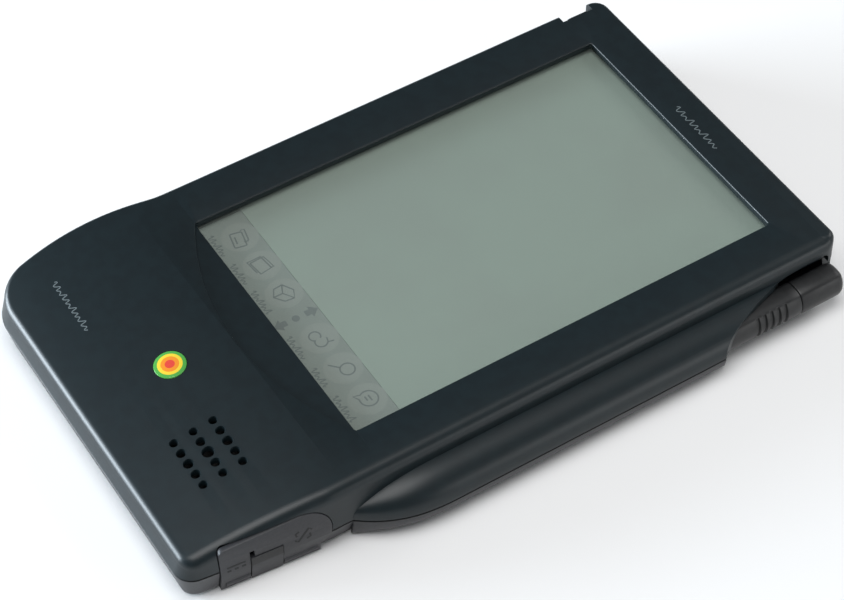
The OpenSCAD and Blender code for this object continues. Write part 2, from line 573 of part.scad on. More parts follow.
module reset_switch() color(steel_c) {
    block([reset_spot[0] - 1.8, reset_spot[1] - 1.8, board_z[0] - 1.8],
        [reset_spot[0] + 1.8, reset_spot[1] + 1.8, board_z[0]]);
    rod_z(reset_spot, 0.9, board_z[0] - 2.3, board_z[0] - 1.7, 24);
}

cap_y = 76.9;                           // joint between the barrel and the end cap
module pen_stretch(y0, y1) along_y(y0, y1) polygon(pen_shape(0));
module stylus_barrel() color(dark_c) {
    difference() {
        pen_stretch(pen_tip_y + 9, cap_y);
        for (k = [0:4]) along_y(63 + 2.1 * k, 63.9 + 2.1 * k)
            polygon([[pen_out - 0.5, pen_z + 0.9], [pen_out + 1, pen_z + 0.9], [pen_out + 1, pen_z + 6.6],
                [pen_out - 0.9, pen_z + 6.6], [pen_out - 0.5, pen_z + 3.5]]);
    }
    along_y(cap_y - 0.1, cap_y + 2) translate([pen_x + 3.7, pen_z + 4]) circle(r = 2.6, $fn = 32);
}
module stylus_cap() color(dark_c) difference() {
    union() {
        pen_stretch(cap_y + 0.6, pen_end_y - 1.4);
        intersection() {
            pen_stretch(pen_end_y - 1.5, pen_end_y);
            translate([pen_x + pen_w / 2, pen_end_y - 9.5, pen_z + pen_h / 2]) sphere(r = 9.5, $fn = 48);
        }
    }
    along_y(cap_y, cap_y + 2.05) translate([pen_x + 3.7, pen_z + 4]) circle(r = 2.65, $fn = 32);
}
module stylus_tip() color(chip_c) translate([pen_x + 3.7, pen_tip_y, pen_z + 4]) rotate([-90, 0, 0]) {
    translate([0, 0, 0.9]) sphere(r = 0.9, $fn = 24);
    translate([0, 0, 0.9]) cylinder(r1 = 0.9, r2 = 3.2, h = 8.1, $fn = 40);
}
module stylus_sleeve() color(dark_c)
    block([pen_x - 2.7, pen_tip_y, floor_z + 1.3], [pen_x - 1.7, bore_end_y - 0.2, joint_z + 5.8]);
module stylus_detent() color(steel_c) {
    block([pen_x - 1.68, 20, pen_z + 2], [pen_x - 1.4, 34, pen_z + 6]);
    block([pen_x - 1.45, 26, pen_z + 2], [pen_x - 0.3, 28, pen_z + 6]);
}
module case_screws() color(steel_c) for (p = screw_spots) difference() {
    union() {
        rod_z(p, 2.3, back_z + 0.3, back_z + 1.55);
        rod_z(p, 1.05, back_z + 1.5, joint_z + 6);
    }
    for (a = [0, 90]) rotate_about(p, a)
        block([p[0] - 1.4, p[1] - 0.25, back_z], [p[0] + 1.4, p[1] + 0.25, back_z + 1]);
}
module board_screws() color(steel_c) for (p = board_spots) {
    rod_z(p, 2, board_z[0] - 0.9, board_z[0] - 0.02);
    rod_z(p, 1.2, board_z[0] - 0.1, board_z[1] + 0.6);
}
module rubber_feet() color(chip_c) for (p = foot_spots) rod_z(p, foot_r, 0, back_z + 0.48, 40);
module rating_label() color(steel_c) round_rect([-24.8, -7.8], [24.8, 33.8], 1.8, back_z + 0.02, back_z + 0.2);
module badge() color([0.85, 0.75, 0.2]) at_badge() rod_z([0, 0], badge_r, -badge_t + 0.02, 0.15, 48);

translate([shift_x, 0, 0]) {
    front_shell();
    rear_shell();
    window_gasket();
    touch_glass();
    icon_film();
    strip_backer();
    lcd_panel();
    lcd_frame();
    lcd_ribbon();
    main_board();
    processor_chip();
    logic_chip();
    ram_chips();
    rf_shield();
    rom_board();
    rom_chips();
    rom_header();
    card_cage();
    card_header();
    eject_button();
    eject_lever();
    speaker();
    speaker_cloth();
    ir_window();
    ir_transceiver();
    port_board();
    port_shroud();
    serial_port();
    dc_jack();
    port_cover();
    port_cover_pin();
    power_slider();
    power_switch();
    contrast_wheel();
    contrast_pot();
    battery_door();
    battery_cells();
    battery_contacts();
    backup_cell();
    backup_holder();
    reset_button();
    reset_switch();
    stylus_barrel();
    stylus_cap();
    stylus_tip();
    stylus_sleeve();
    stylus_detent();
    case_screws();
    board_screws();
    rubber_feet();
    rating_label();
    badge();
}
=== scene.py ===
import math
import bpy
import numpy as np
from mathutils import Matrix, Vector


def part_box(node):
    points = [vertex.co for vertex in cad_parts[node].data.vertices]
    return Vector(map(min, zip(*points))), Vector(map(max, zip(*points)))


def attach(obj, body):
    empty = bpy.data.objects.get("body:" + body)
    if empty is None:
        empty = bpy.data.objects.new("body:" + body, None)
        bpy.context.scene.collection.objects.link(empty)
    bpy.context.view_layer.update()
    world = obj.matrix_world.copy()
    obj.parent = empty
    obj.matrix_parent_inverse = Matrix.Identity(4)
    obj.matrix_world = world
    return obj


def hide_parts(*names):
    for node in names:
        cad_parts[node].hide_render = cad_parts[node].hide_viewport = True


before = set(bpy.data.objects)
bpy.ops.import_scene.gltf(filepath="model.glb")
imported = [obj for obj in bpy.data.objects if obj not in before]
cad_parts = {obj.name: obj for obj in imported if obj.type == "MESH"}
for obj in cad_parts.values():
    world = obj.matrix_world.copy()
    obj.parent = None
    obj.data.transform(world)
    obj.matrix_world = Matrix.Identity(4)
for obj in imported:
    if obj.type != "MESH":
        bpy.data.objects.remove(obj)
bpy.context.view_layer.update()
mm = 0.001
creaseAngle = 35                                        # degrees; sharper edges stay sharp

# the case's plan is worked in millimetres from its own middle, and moved over by shiftX to meet the frame
case = {
    "halfWidth": 52.0, "halfLength": 92.0, "wall": 1.8,
    "backZ": 0.5, "jointZ": 7.0, "faceZ": 19.487,
    "jointRise": 2.2,                                   # how far the parting line climbs at the chin's end
    "chinY": -50.0, "chinRadius": 157.0,
    "bow": 2.186, "bowRadius": 95.0, "bowY": -64.5, "bowBlend": 0.3,
    "chinCorner": 12.0, "heelCorner": 5.0, "topCorner": 4.0,
    "taperTopY": -54.5, "taperIn": 2.8, "taperLength": 29.5,
    "rimRadius": 3.2, "chinRimRadius": 1.8, "topRimRadius": 1.3, "leftRimRadius": 1.3,
    "sideLean": 0.6, "chinLean": 1.3, "farLean": 0.05,  # how far the front shell's sides lean in
    "backLean": 1.35, "backEdge": 2.1,                  # the same for the rear shell, and its lower edge
    "seamGap": 0.17, "lipBevel": 0.1, "rearLipBevel": 0.12, "frontLip": 1.15, "rearLip": 0.95,
}
siloOut = 59.9                                          # outer side of the silo
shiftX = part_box("front_shell")[1][0] / mm - siloOut
taperAngle = math.atan(case["taperIn"] / case["taperLength"])


# helpers for meshes
def newPiece(name, points, faces, smooth=creaseAngle):
    # points in millimetres; edges sharper than the angle stay sharp
    mesh = bpy.data.meshes.new(name)
    placed = np.asarray(points, dtype=float) + [shiftX, 0, 0]
    mesh.from_pydata((placed * mm).tolist(), [], [list(map(int, f)) for f in faces])
    mesh.update()
    piece = bpy.data.objects.new(name, mesh)
    bpy.context.scene.collection.objects.link(piece)
    softenShading(piece, smooth)
    return piece


def softenShading(piece, angle=creaseAngle):
    piece.data.shade_smooth()
    piece.data.set_sharp_from_angle(angle=math.radians(angle))


def meshPoints(piece):
    # the vertices in metres, one row each
    own = np.empty(len(piece.data.vertices) * 3)
    piece.data.vertices.foreach_get("co", own)
    return own.reshape(-1, 3)


def bandFaces(rows, columns):
    # quads of a grid whose rows are closed loops: (row, column) to the next row and the next column
    k = np.arange(rows - 1)[:, None]
    i = np.arange(columns)[None, :]
    j = (i + 1) % columns
    quads = np.stack([k * columns + i, (k + 1) * columns + i, (k + 1) * columns + j, k * columns + j], axis=-1)
    return quads.reshape(-1, 4).tolist()


def loopSolid(name, loops, smooth=creaseAngle):
    # skin over loops of equal length, with a flat end at each side
    loops = np.asarray(loops, dtype=float)
    rows, columns = loops.shape[:2]
    faces = bandFaces(rows, columns)
    faces.append(list(range(columns)))
    faces.append([(rows - 1) * columns + c for c in range(columns)][::-1])
    return newPiece(name, loops.reshape(-1, 3), faces, smooth)


def prism(name, outline, levels):
    # an outline in x and y, carried up through levels of (height, growth); it grows along its own normals
    outline = np.asarray(outline, dtype=float)
    before = np.roll(outline, 1, axis=0)
    after = np.roll(outline, -1, axis=0)
    along = after - before
    normal = np.stack([along[:, 1], -along[:, 0]], axis=1)
    normal /= np.maximum(np.linalg.norm(normal, axis=1, keepdims=True), 1e-9)
    area = np.sum(outline[:, 0] * after[:, 1] - after[:, 0] * outline[:, 1])
    if area < 0:
        outline, normal = outline[::-1], -normal[::-1]
    loops = []
    for height, growth in levels:
        flat = outline + normal * growth
        high = height(flat) if callable(height) else np.full(len(flat), float(height))
        loops.append(np.column_stack([flat, high]))
    return loopSolid(name, np.asarray(loops)[:, ::-1])


def arcPoints(centre, radius, start, end, count=8):
    a = np.radians(np.linspace(start, end, count))
    return np.column_stack([centre[0] + radius * np.cos(a), centre[1] + radius * np.sin(a)])


def roundedRect(low, high, radius, count=6):
    corners = [((high[0] - radius, high[1] - radius), 0), ((low[0] + radius, high[1] - radius), 90),
               ((low[0] + radius, low[1] + radius), 180), ((high[0] - radius, low[1] + radius), 270)]
    return np.concatenate([arcPoints(c, radius, a, a + 90, count) for c, a in corners])


def brick(name, low, high):
    outline = [(low[0], low[1]), (high[0], low[1]), (high[0], high[1]), (low[0], high[1])]
    return prism(name, outline, [(low[2], 0), (high[2], 0)])


def turned(name, centre, profile, count=32):
    # a profile of (radius, height) turned about an upright axis
    a = np.radians(np.arange(count) * 360 / count)
    ring = np.column_stack([np.cos(a), np.sin(a)])
    loops = [np.column_stack([centre[0] + r * ring[:, 0], centre[1] + r * ring[:, 1], np.full(count, z)])
             for r, z in profile]
    return loopSolid(name, np.asarray(loops)[:, ::-1])


def joinMeshes(name, pieces):
    # several loose pieces made one object
    points, faces, start = [], [], 0
    for piece in pieces:
        points.append(meshPoints(piece) / mm - [shiftX, 0, 0])
        faces += [[v + start for v in p.vertices] for p in piece.data.polygons]
        start += len(piece.data.vertices)
        discard(piece)
    return newPiece(name, np.concatenate(points), faces)


def discard(piece):
    mesh = piece.data
    bpy.data.objects.remove(piece)
    bpy.data.meshes.remove(mesh)


def combine(piece, others, how="DIFFERENCE"):
    # cuts, joins or intersects solid pieces, keeps the result and drops the others
    for other in others:
        step = piece.modifiers.new("combine", "BOOLEAN")
        step.operation = how
        step.object = other
        step.solver = "MANIFOLD"
    keepShape(piece)
    for other in others:
        discard(other)


def keepShape(piece):
    # puts what the modifiers make into the piece's own mesh
    graph = bpy.context.evaluated_depsgraph_get()
    made = bpy.data.meshes.new_from_object(piece.evaluated_get(graph))
    old = piece.data
    piece.modifiers.clear()
    piece.data = made
    made.name = piece.name
    bpy.data.meshes.remove(old)
    softenShading(piece)


def transformed(piece, turn):
    # moves the vertices themselves by a 4 by 4 array in millimetres, in the case's own plan
    own = meshPoints(piece) / mm - [shiftX, 0, 0]
    own = own @ turn[:3, :3].T + turn[:3, 3] + [shiftX, 0, 0]
    piece.data.vertices.foreach_set("co", (own * mm).ravel())
    piece.data.update()
    return piece


def finishPiece(piece, body, material, slotName, *nodes):
    piece.data.materials.clear()
    piece.data.materials.append(material)
    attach(piece, body)
    if nodes:
        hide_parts(*nodes)


# camera and lights
cameraSetting = {
    "target": (0.010302, -0.005965, 0.0195), "distance": 0.59154,
    "azimuth": 57.924, "elevation": 49.476, "roll": -0.368, "lens": 104.55,
    "sensorWidth": 36,
}


def placeCamera(s):
    # stands off from the target along azimuth and elevation, then rolls about the line of sight
    az, el, roll = (math.radians(s[k]) for k in ("azimuth", "elevation", "roll"))
    back = np.array([math.sin(az) * math.cos(el), -math.cos(az) * math.cos(el), math.sin(el)])
    right = np.cross(-back, [0, 0, 1])
    right /= np.linalg.norm(right)
    up = np.cross(right, -back)
    tiltRight = math.cos(roll) * right + math.sin(roll) * up
    tiltUp = -math.sin(roll) * right + math.cos(roll) * up
    place = np.eye(4)
    place[:3, 0], place[:3, 1], place[:3, 2] = tiltRight, tiltUp, back
    place[:3, 3] = np.array(s["target"]) + back * s["distance"]
    data = bpy.data.cameras.new("productCamera")
    data.lens = s["lens"]
    data.sensor_width = s["sensorWidth"]
    camera = bpy.data.objects.new("productCamera", data)
    camera.matrix_world = Matrix(place.tolist())
    bpy.context.scene.collection.objects.link(camera)
    bpy.context.scene.camera = camera


def softbox(name, direction, distance, size, power, tint):
    # a flat panel of light, standing off along a direction and turned to a point inside the case
    aim = (0, 0, 0.01)
    towards = np.array(direction, dtype=float)
    towards /= np.linalg.norm(towards)
    data = bpy.data.lights.new(name, "AREA")
    data.shape = "RECTANGLE"
    data.size, data.size_y = size
    data.energy = power
    data.color = tint
    side = np.cross([0, 0, 1], towards)
    side /= np.linalg.norm(side)
    place = np.eye(4)
    place[:3, 0], place[:3, 1], place[:3, 2] = side, np.cross(towards, side), towards
    place[:3, 3] = np.array(aim) + towards * distance
    lamp = bpy.data.objects.new(name, data)
    lamp.matrix_world = Matrix(place.tolist())
    bpy.context.scene.collection.objects.link(lamp)


# each softbox: direction from the aim point, distance and size in metres, power in watts, tint
softboxes = {
    "keySoftbox": ((0.15, -0.2, 1.0), 1.3, (0.9, 0.9), 12.5, (1, 1, 1)),
    "chinSoftbox": ((-0.6, -0.78, 0.13), 1.0, (0.7, 0.4), 26, (0.8, 0.91, 1.0)),
    "sideSoftbox": ((0.85, 0.5, 0.22), 1.1, (0.6, 0.3), 1.8, (1, 1, 1)),
    "backSoftbox": ((0.1, 0.9, 0.6), 1.2, (0.9, 0.5), 4, (1, 1, 1)),
}
placeCamera(cameraSetting)
for lampName, lampSetting in softboxes.items():
    softbox(lampName, *lampSetting)
bpy.context.scene.view_settings.view_transform = "Standard"
print("camera and lights placed")


# materials
def linearFromHex(text):
    # sRGB hex to linear values, by the sRGB curve
    raw = np.array([int(text[k:k + 2], 16) / 255 for k in (1, 3, 5)])
    return tuple(np.where(raw <= 0.04045, raw / 12.92, ((raw + 0.055) / 1.055) ** 2.4)) + (1.0,)


def addNode(tree, kind, settings=None, links=None):
    # one node, with settings by socket or property name and links by socket name
    node = tree.nodes.new(kind)
    for key, value in (settings or {}).items():
        if key in node.inputs:
            node.inputs[key].default_value = value
        else:
            setattr(node, key, value)
    for key, source in (links or {}).items():
        tree.links.new(source, node.inputs[key])
    return node


def startMaterial(name, colour, settings):
    material = bpy.data.materials.new(name)
    material.use_nodes = True
    tree = material.node_tree
    tree.nodes.clear()
    shader = addNode(tree, "ShaderNodeBsdfPrincipled", dict({"Base Color": linearFromHex(colour)}, **settings))
    addNode(tree, "ShaderNodeOutputMaterial", links={"Surface": shader.outputs[0]})
    material.diffuse_color = linearFromHex(colour)
    return material, tree, shader


def mottle(tree, shader, first, second, grainMm, low=0.4, high=0.6):
    # the colour wanders between two shades in patches of the grain's size
    place = addNode(tree, "ShaderNodeTexCoord")
    noise = addNode(tree, "ShaderNodeTexNoise", {"Scale": 1 / (grainMm * mm), "Detail": 3.0},
                    {"Vector": place.outputs["Object"]})
    spread = addNode(tree, "ShaderNodeMapRange", {"From Min": low, "From Max": high},
                     {"Value": noise.outputs["Fac"]})
    mix = addNode(tree, "ShaderNodeMix", {"data_type": "RGBA"}, {"Factor": spread.outputs["Result"]})
    mix.inputs[6].default_value = linearFromHex(first)
    mix.inputs[7].default_value = linearFromHex(second)
    tree.links.new(mix.outputs[2], shader.inputs["Base Color"])
    return place


def roughen(tree, shader, place, grainMm, depthMm):
    # a fine bump of the given grain and depth
    noise = addNode(tree, "ShaderNodeTexNoise", {"Scale": 1 / (grainMm * mm), "Detail": 2.0},
                    {"Vector": place.outputs["Object"]})
    bump = addNode(tree, "ShaderNodeBump", {"Strength": 1.0, "Distance": depthMm * mm},
                   {"Height": noise.outputs["Fac"]})
    tree.links.new(bump.outputs["Normal"], shader.inputs["Normal"])


def patchyMaterial(name, colour, shades, grainMm, settings, bump=None):
    # the colour wanders between two shades; a bump, where there is one, is (grain, depth) in millimetres
    material, tree, shader = startMaterial(name, colour, settings)
    place = mottle(tree, shader, shades[0], shades[1], grainMm)
    if bump:
        roughen(tree, shader, place, bump[0], bump[1])
    return material


def evenMaterial(name, colour, settings):
    return startMaterial(name, colour, settings)[0]


badgeRings = {"radius": 4.0,
              "bands": ((0.0, "#d2483c"), (0.34, "#e08a2e"), (0.58, "#e3c53a"), (0.78, "#4f9e47"))}


def badgeEnamel():
    # glossy cloisonne enamel: rings of flat colour about the badge's middle
    material, tree, shader = startMaterial("badgeEnamel", "#d9a42b", {"Roughness": 0.18, "IOR": 1.5})
    low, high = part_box("badge")
    middle = [(low[k] + high[k]) / 2 for k in range(3)]
    place = addNode(tree, "ShaderNodeTexCoord")
    away = addNode(tree, "ShaderNodeVectorMath", {"operation": "DISTANCE"})
    tree.links.new(place.outputs["Object"], away.inputs[0])
    away.inputs[1].default_value = middle
    share = addNode(tree, "ShaderNodeMapRange", {"From Max": badgeRings["radius"] * mm}, {"Value": away.outputs["Value"]})
    ramp = addNode(tree, "ShaderNodeValToRGB", links={"Fac": share.outputs["Result"]})
    ramp.color_ramp.interpolation = "CONSTANT"
    for number, (start, colour) in enumerate(badgeRings["bands"]):
        point = ramp.color_ramp.elements[0] if number == 0 else ramp.color_ramp.elements.new(start)
        point.position = start
        point.color = linearFromHex(colour)
    ramp.color_ramp.elements.remove(ramp.color_ramp.elements[-1])
    tree.links.new(ramp.outputs["Color"], shader.inputs["Base Color"])
    return material


inkFinish = {"Roughness": 0.6, "IOR": 1.5}
finishes = {
    # satin paint over moulded ABS: an even dark film with a soft sheen
    "painted": patchyMaterial("paintedAbs", "#0f1a1e", ("#0e191d", "#101c20"), 3.0,
        {"Roughness": 0.38, "IOR": 1.46}, (0.35, 0.006)),
    # spark-textured moulded ABS, left unpainted: a dry, slightly speckled dark grey
    "textured": patchyMaterial("texturedAbs", "#25262a", ("#232428", "#28292d"), 0.8,
        {"Roughness": 0.46, "IOR": 1.5}, (0.5, 0.02)),
    # the same resin in a smoother mould, with a slight shine; its base colour is darker than the trim's: painted
    # shade, standing in for the shade over the stylus's top
    "pen": patchyMaterial("penAbs", "#1b1c1d", ("#191a1b", "#1e1f20"), 1.5,
        {"Roughness": 0.42, "IOR": 1.48}, (0.4, 0.008)),
    # glass-filled nylon of the inner parts: black with a grey bloom
    "nylon": patchyMaterial("blackNylon", "#0d0e0f", ("#0b0c0d", "#121314"), 0.6,
        {"Roughness": 0.55, "IOR": 1.53}, (0.3, 0.01)),
    # reflective liquid crystal cell: an even green-grey, a little uneven in large patches
    "display": patchyMaterial("twistedNematicDisplay", "#8b998d", ("#8a978c", "#8c9b8f"), 30.0,
        {"Roughness": 0.45, "IOR": 1.5}),
    # screen-printed polyester: flat pale grey
    "film": patchyMaterial("printedFilm", "#788079", ("#777f78", "#79827b"), 8.0,
        {"Roughness": 0.5, "IOR": 1.57}),
    # tin-plated sheet steel: dull silver with faint rolling marks
    "steel": patchyMaterial("sheetSteel", "#b4b5b4", ("#aeb0af", "#babbba"), 2.0,
        {"Roughness": 0.38, "Metallic": 1.0}, (0.6, 0.004)),
    # nickel-brass spring strip: pale yellow metal
    "brass": patchyMaterial("platedBrass", "#c9a85c", ("#c4a256", "#cfb064"), 1.0,
        {"Roughness": 0.3, "Metallic": 1.0}),
    # glossy green lacquer over glass-fibre laminate, with the weave just showing
    "board": patchyMaterial("solderMask", "#155436", ("#134c31", "#185c3c"), 1.2,
        {"Roughness": 0.3, "IOR": 1.55}, (0.8, 0.006)),
    # transfer-moulded epoxy: matt black with fine grit
    "chip": patchyMaterial("chipEpoxy", "#161618", ("#141416", "#1a1a1c"), 0.3,
        {"Roughness": 0.6, "IOR": 1.55}, (0.25, 0.008)),
    # flexible circuit: amber film
    "amber": patchyMaterial("polyimideFilm", "#a8642a", ("#a05e26", "#b06a2e"), 3.0,
        {"Roughness": 0.3, "IOR": 1.6}),
    # cut foam and speaker cloth: soft black
    "foam": patchyMaterial("openCellFoam", "#101011", ("#0c0c0d", "#161617"), 0.5,
        {"Roughness": 0.95, "IOR": 1.45}, (0.5, 0.05)),
    # dark red acrylic that only passes infrared: glossy, nearly black
    "lens": patchyMaterial("infraredLens", "#2a060b", ("#28050a", "#2d070d"), 4.0,
        {"Roughness": 0.12, "IOR": 1.49}),
    # printed sleeve shrunk on a steel can
    "cell": patchyMaterial("cellJacket", "#b08a2e", ("#aa842a", "#b69034"), 5.0,
        {"Roughness": 0.3, "Metallic": 0.6}),
    # moulded rubber foot: dead matt, dusty
    "rubber": patchyMaterial("mouldedRubber", "#1a1a1a", ("#171717", "#202020"), 0.8,
        {"Roughness": 0.85, "IOR": 1.52}, (0.4, 0.02)),
    # matt polyester label, silver grey
    "label": patchyMaterial("labelFilm", "#9a9b98", ("#979895", "#9d9e9b"), 6.0,
        {"Roughness": 0.5, "IOR": 1.57}),
    # etched digitizer sheet: clear, with a fine haze on its top
    "glass": evenMaterial("digitizerGlass", "#8f9a94", {"Roughness": 0.32, "IOR": 1.5, "Alpha": 0.16}),
    # screen inks: one matt pass each
    "inkDark": evenMaterial("darkInk", "#565d5c", inkFinish),
    "inkPale": evenMaterial("paleInk", "#828982", inkFinish),
    "inkGrey": evenMaterial("greyInk", "#5b6568", inkFinish),
    "inkBlack": evenMaterial("blackInk", "#0c0d0f", inkFinish),
    "enamel": badgeEnamel(),
}
nodeFinish = {
    "foam": ["window_gasket", "speaker_cloth"],
    "film": ["icon_film"],
    "display": ["lcd_panel"],
    "steel": ["lcd_frame", "rf_shield", "card_cage", "eject_lever", "port_cover_pin", "power_switch",
              "backup_cell", "reset_switch", "stylus_detent", "case_screws", "board_screws"],
    "amber": ["lcd_ribbon"],
    "board": ["main_board", "rom_board", "port_board"],
    "chip": ["processor_chip", "logic_chip", "ram_chips", "rom_chips", "ir_transceiver"],
    "nylon": ["strip_backer", "rom_header", "card_header", "speaker", "port_shroud", "serial_port", "dc_jack",
              "contrast_pot", "backup_holder", "stylus_tip", "stylus_sleeve"],
    "textured": ["eject_button", "power_slider", "contrast_wheel"],
    "lens": ["ir_window"],
    "brass": ["battery_contacts"],
    "cell": ["battery_cells"],
    "rubber": ["rubber_feet"],
    "label": ["rating_label", "reset_button"],
}
for finishName, nodeNames in nodeFinish.items():
    for nodeName in nodeNames:
        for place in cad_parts[nodeName].material_slots:
            place.material = finishes[finishName]
print("materials made")


# the two shells
def arcSide(y, centre, radius, side):
    # x and outward normal on a circle at height y in plan
    x = centre[0] + side * np.sqrt(np.maximum(radius ** 2 - (y - centre[1]) ** 2, 0))
    return x, np.column_stack([(x - centre[0]) / radius, (y - centre[1]) / radius])


def casePlan():
    # left and right sides of the plan from the chin's end to the top end, sampled at shared heights
    c = case
    heelY = -c["halfLength"] + c["heelCorner"]
    cornerY = -c["halfLength"] + c["chinCorner"]
    topY = c["halfLength"] - c["topCorner"]
    heelTurn = np.radians(np.linspace(0, 90 - math.degrees(taperAngle), 12))
    ys = np.concatenate([
        heelY - c["heelCorner"] * np.cos(heelTurn), np.linspace(heelY + 0.5, c["chinY"], 34),
        [-48, -46, -44, -42, -40, -37, -33, -28, 0, 40, topY - 4],
        topY + c["topCorner"] * np.sin(np.radians(np.linspace(0, 90, 11)))])
    bowCentre = (-c["halfWidth"] - c["bow"] + c["bowRadius"], c["bowY"])
    reach = c["bowRadius"] - c["chinCorner"]
    cornerX = bowCentre[0] - math.sqrt(reach ** 2 - (cornerY - c["bowY"]) ** 2)
    switchY = c["bowY"] + (cornerY - c["bowY"]) * c["bowRadius"] / reach
    # the bow stands out from the straight side by the smooth maximum of its circle and nothing
    rise = np.sqrt(np.maximum(c["bowRadius"] ** 2 - (ys - c["bowY"]) ** 2, 0)) - c["bowRadius"] + c["bow"]
    swell = np.minimum((rise + np.sqrt(rise ** 2 + c["bowBlend"] ** 2)) / 2, c["bow"])
    slope = np.gradient(swell, ys + np.arange(len(ys)) * 1e-9)
    left = -c["halfWidth"] - swell
    leftNormal = np.column_stack([-np.ones_like(ys), -slope])
    low = ys < switchY
    x, n = arcSide(ys, (cornerX, cornerY), c["chinCorner"], -1)
    left[low], leftNormal[low] = x[low], n[low]
    high = ys >= topY
    x, n = arcSide(ys, (-c["halfWidth"] + c["topCorner"], topY), c["topCorner"], -1)
    left[high], leftNormal[high] = x[high], n[high]
    leftNormal /= np.linalg.norm(leftNormal, axis=1, keepdims=True)
    # right side: heel corner tangent to the taper, taper, straight, top corner
    cosine, sine = math.cos(taperAngle), math.sin(taperAngle)
    heelX = c["halfWidth"] - (c["heelCorner"] + (c["taperTopY"] - heelY) * sine) / cosine
    tapered = ys < c["taperTopY"]
    right = np.where(tapered, c["halfWidth"] - (c["taperTopY"] - ys) * math.tan(taperAngle), c["halfWidth"])
    rightNormal = np.where(tapered[:, None], [cosine, -sine], [1.0, 0.0])
    low = ys <= heelY - c["heelCorner"] * sine + 1e-6
    x, n = arcSide(ys, (heelX, heelY), c["heelCorner"], 1)
    right[low], rightNormal[low] = x[low], n[low]
    x, n = arcSide(ys, (c["halfWidth"] - c["topCorner"], topY), c["topCorner"], 1)
    right[high], rightNormal[high] = x[high], n[high]
    points = np.concatenate([np.column_stack([left, ys]), np.column_stack([right, ys])[::-1]])
    normals = np.concatenate([leftNormal, rightNormal[::-1]])
    return points, normals


def faceHeight(y):
    # flat face that turns down over the chin on a large radius
    drop = np.minimum(y - case["chinY"], 0)
    return case["faceZ"] - case["chinRadius"] + np.sqrt(case["chinRadius"] ** 2 - drop ** 2)


def jointHeight(y):
    # the parting line is level and climbs smoothly beside the chin
    t = np.clip((case["taperTopY"] - y) / (case["taperTopY"] + case["halfLength"]), 0, 1)
    return case["jointZ"] + case["jointRise"] * t * t * (3 - 2 * t)


def backHeight(y):
    return np.full_like(y, case["backZ"])


def shellSolid(name, levels, flip):
    # the plan's loop carried through levels of (height rule, inward offset, rise), closed by strips across
    points, normals = casePlan()
    count = len(points)
    half = count // 2
    loops = []
    for rule, inset, rise in levels:
        flat = points - normals * np.broadcast_to(inset, count)[:, None]
        loops.append(np.column_stack([flat, rule(flat[:, 1]) + rise]))
    rows = len(loops)
    faces = bandFaces(rows, count)
    last = (rows - 1) * count
    for i in range(half - 1):
        a, b, c, d = i, count - 1 - i, count - 2 - i, i + 1
        faces.append([last + a, last + b, last + c, last + d])
        faces.append([a, d, c, b])
    if flip:
        faces = [f[::-1] for f in faces]
    return newPiece(name, np.concatenate(loops), faces)


def frontLevels():
    # the inner skin, the stepped lip of the joint, then the outer skin up to its rounded rim
    normals = casePlan()[1]
    ends = normals[:, 1] ** 2
    below = normals[:, 1] < 0
    side = np.where(normals[:, 0] < 0, case["leftRimRadius"], case["rimRadius"])
    rim = side + (np.where(below, case["chinRimRadius"], case["topRimRadius"]) - side) * ends
    sideLean = np.where(normals[:, 0] < 0, case["farLean"], case["sideLean"])
    lean = sideLean * (1 - ends) + np.where(below, case["chinLean"], case["farLean"]) * ends
    inner = np.maximum(rim - case["wall"], 0.4)
    wall, seam, lip, bevel = case["wall"], case["seamGap"], case["frontLip"], case["lipBevel"]
    levels = []
    for a in np.radians([90, 60, 30, 0]):
        levels.append((faceHeight, wall + lean + inner * (1 - math.cos(a)), -wall - inner * (1 - math.sin(a))))
    levels += [(jointHeight, wall, lip), (jointHeight, wall / 2, lip), (jointHeight, wall / 2, seam),
               (jointHeight, bevel, seam), (jointHeight, 0, seam + bevel)]
    for a in np.radians(np.linspace(0, 90, 9)):
        levels.append((faceHeight, lean + rim * (1 - math.cos(a)), -rim * (1 - math.sin(a))))
    return levels


def rearLevels():
    # the inner skin, the lip that enters the front shell, then the outer skin down to its rounded edge
    wall, seam, lean, edge = case["wall"], case["seamGap"], case["backLean"], case["backEdge"]
    lip, bevel, floorBevel = case["rearLip"], case["rearLipBevel"], 0.9
    lipInset = wall / 2 + 0.08
    levels = [(backHeight, wall + lean + floorBevel, wall), (backHeight, wall + lean, wall + floorBevel),
              (jointHeight, wall - 0.05, lip), (jointHeight, lipInset, lip),
              (jointHeight, lipInset, -seam), (jointHeight, bevel, -seam), (jointHeight, 0, -seam - bevel)]
    for a in np.radians(np.linspace(0, 90, 5)):
        levels.append((backHeight, lean + edge * (1 - math.cos(a)), edge * (1 - math.sin(a))))
    return levels


# the silo bulges from the right side and holds the stylus
siloShape = {"lowY": -49.5, "growLength": 25.5, "growPower": 2.7, "highY": 76.0, "crest": 7.4, "rootX": 50.9,
             "startHeight": 0.35, "depth": 6.2, "edgeBevel": 0.12}


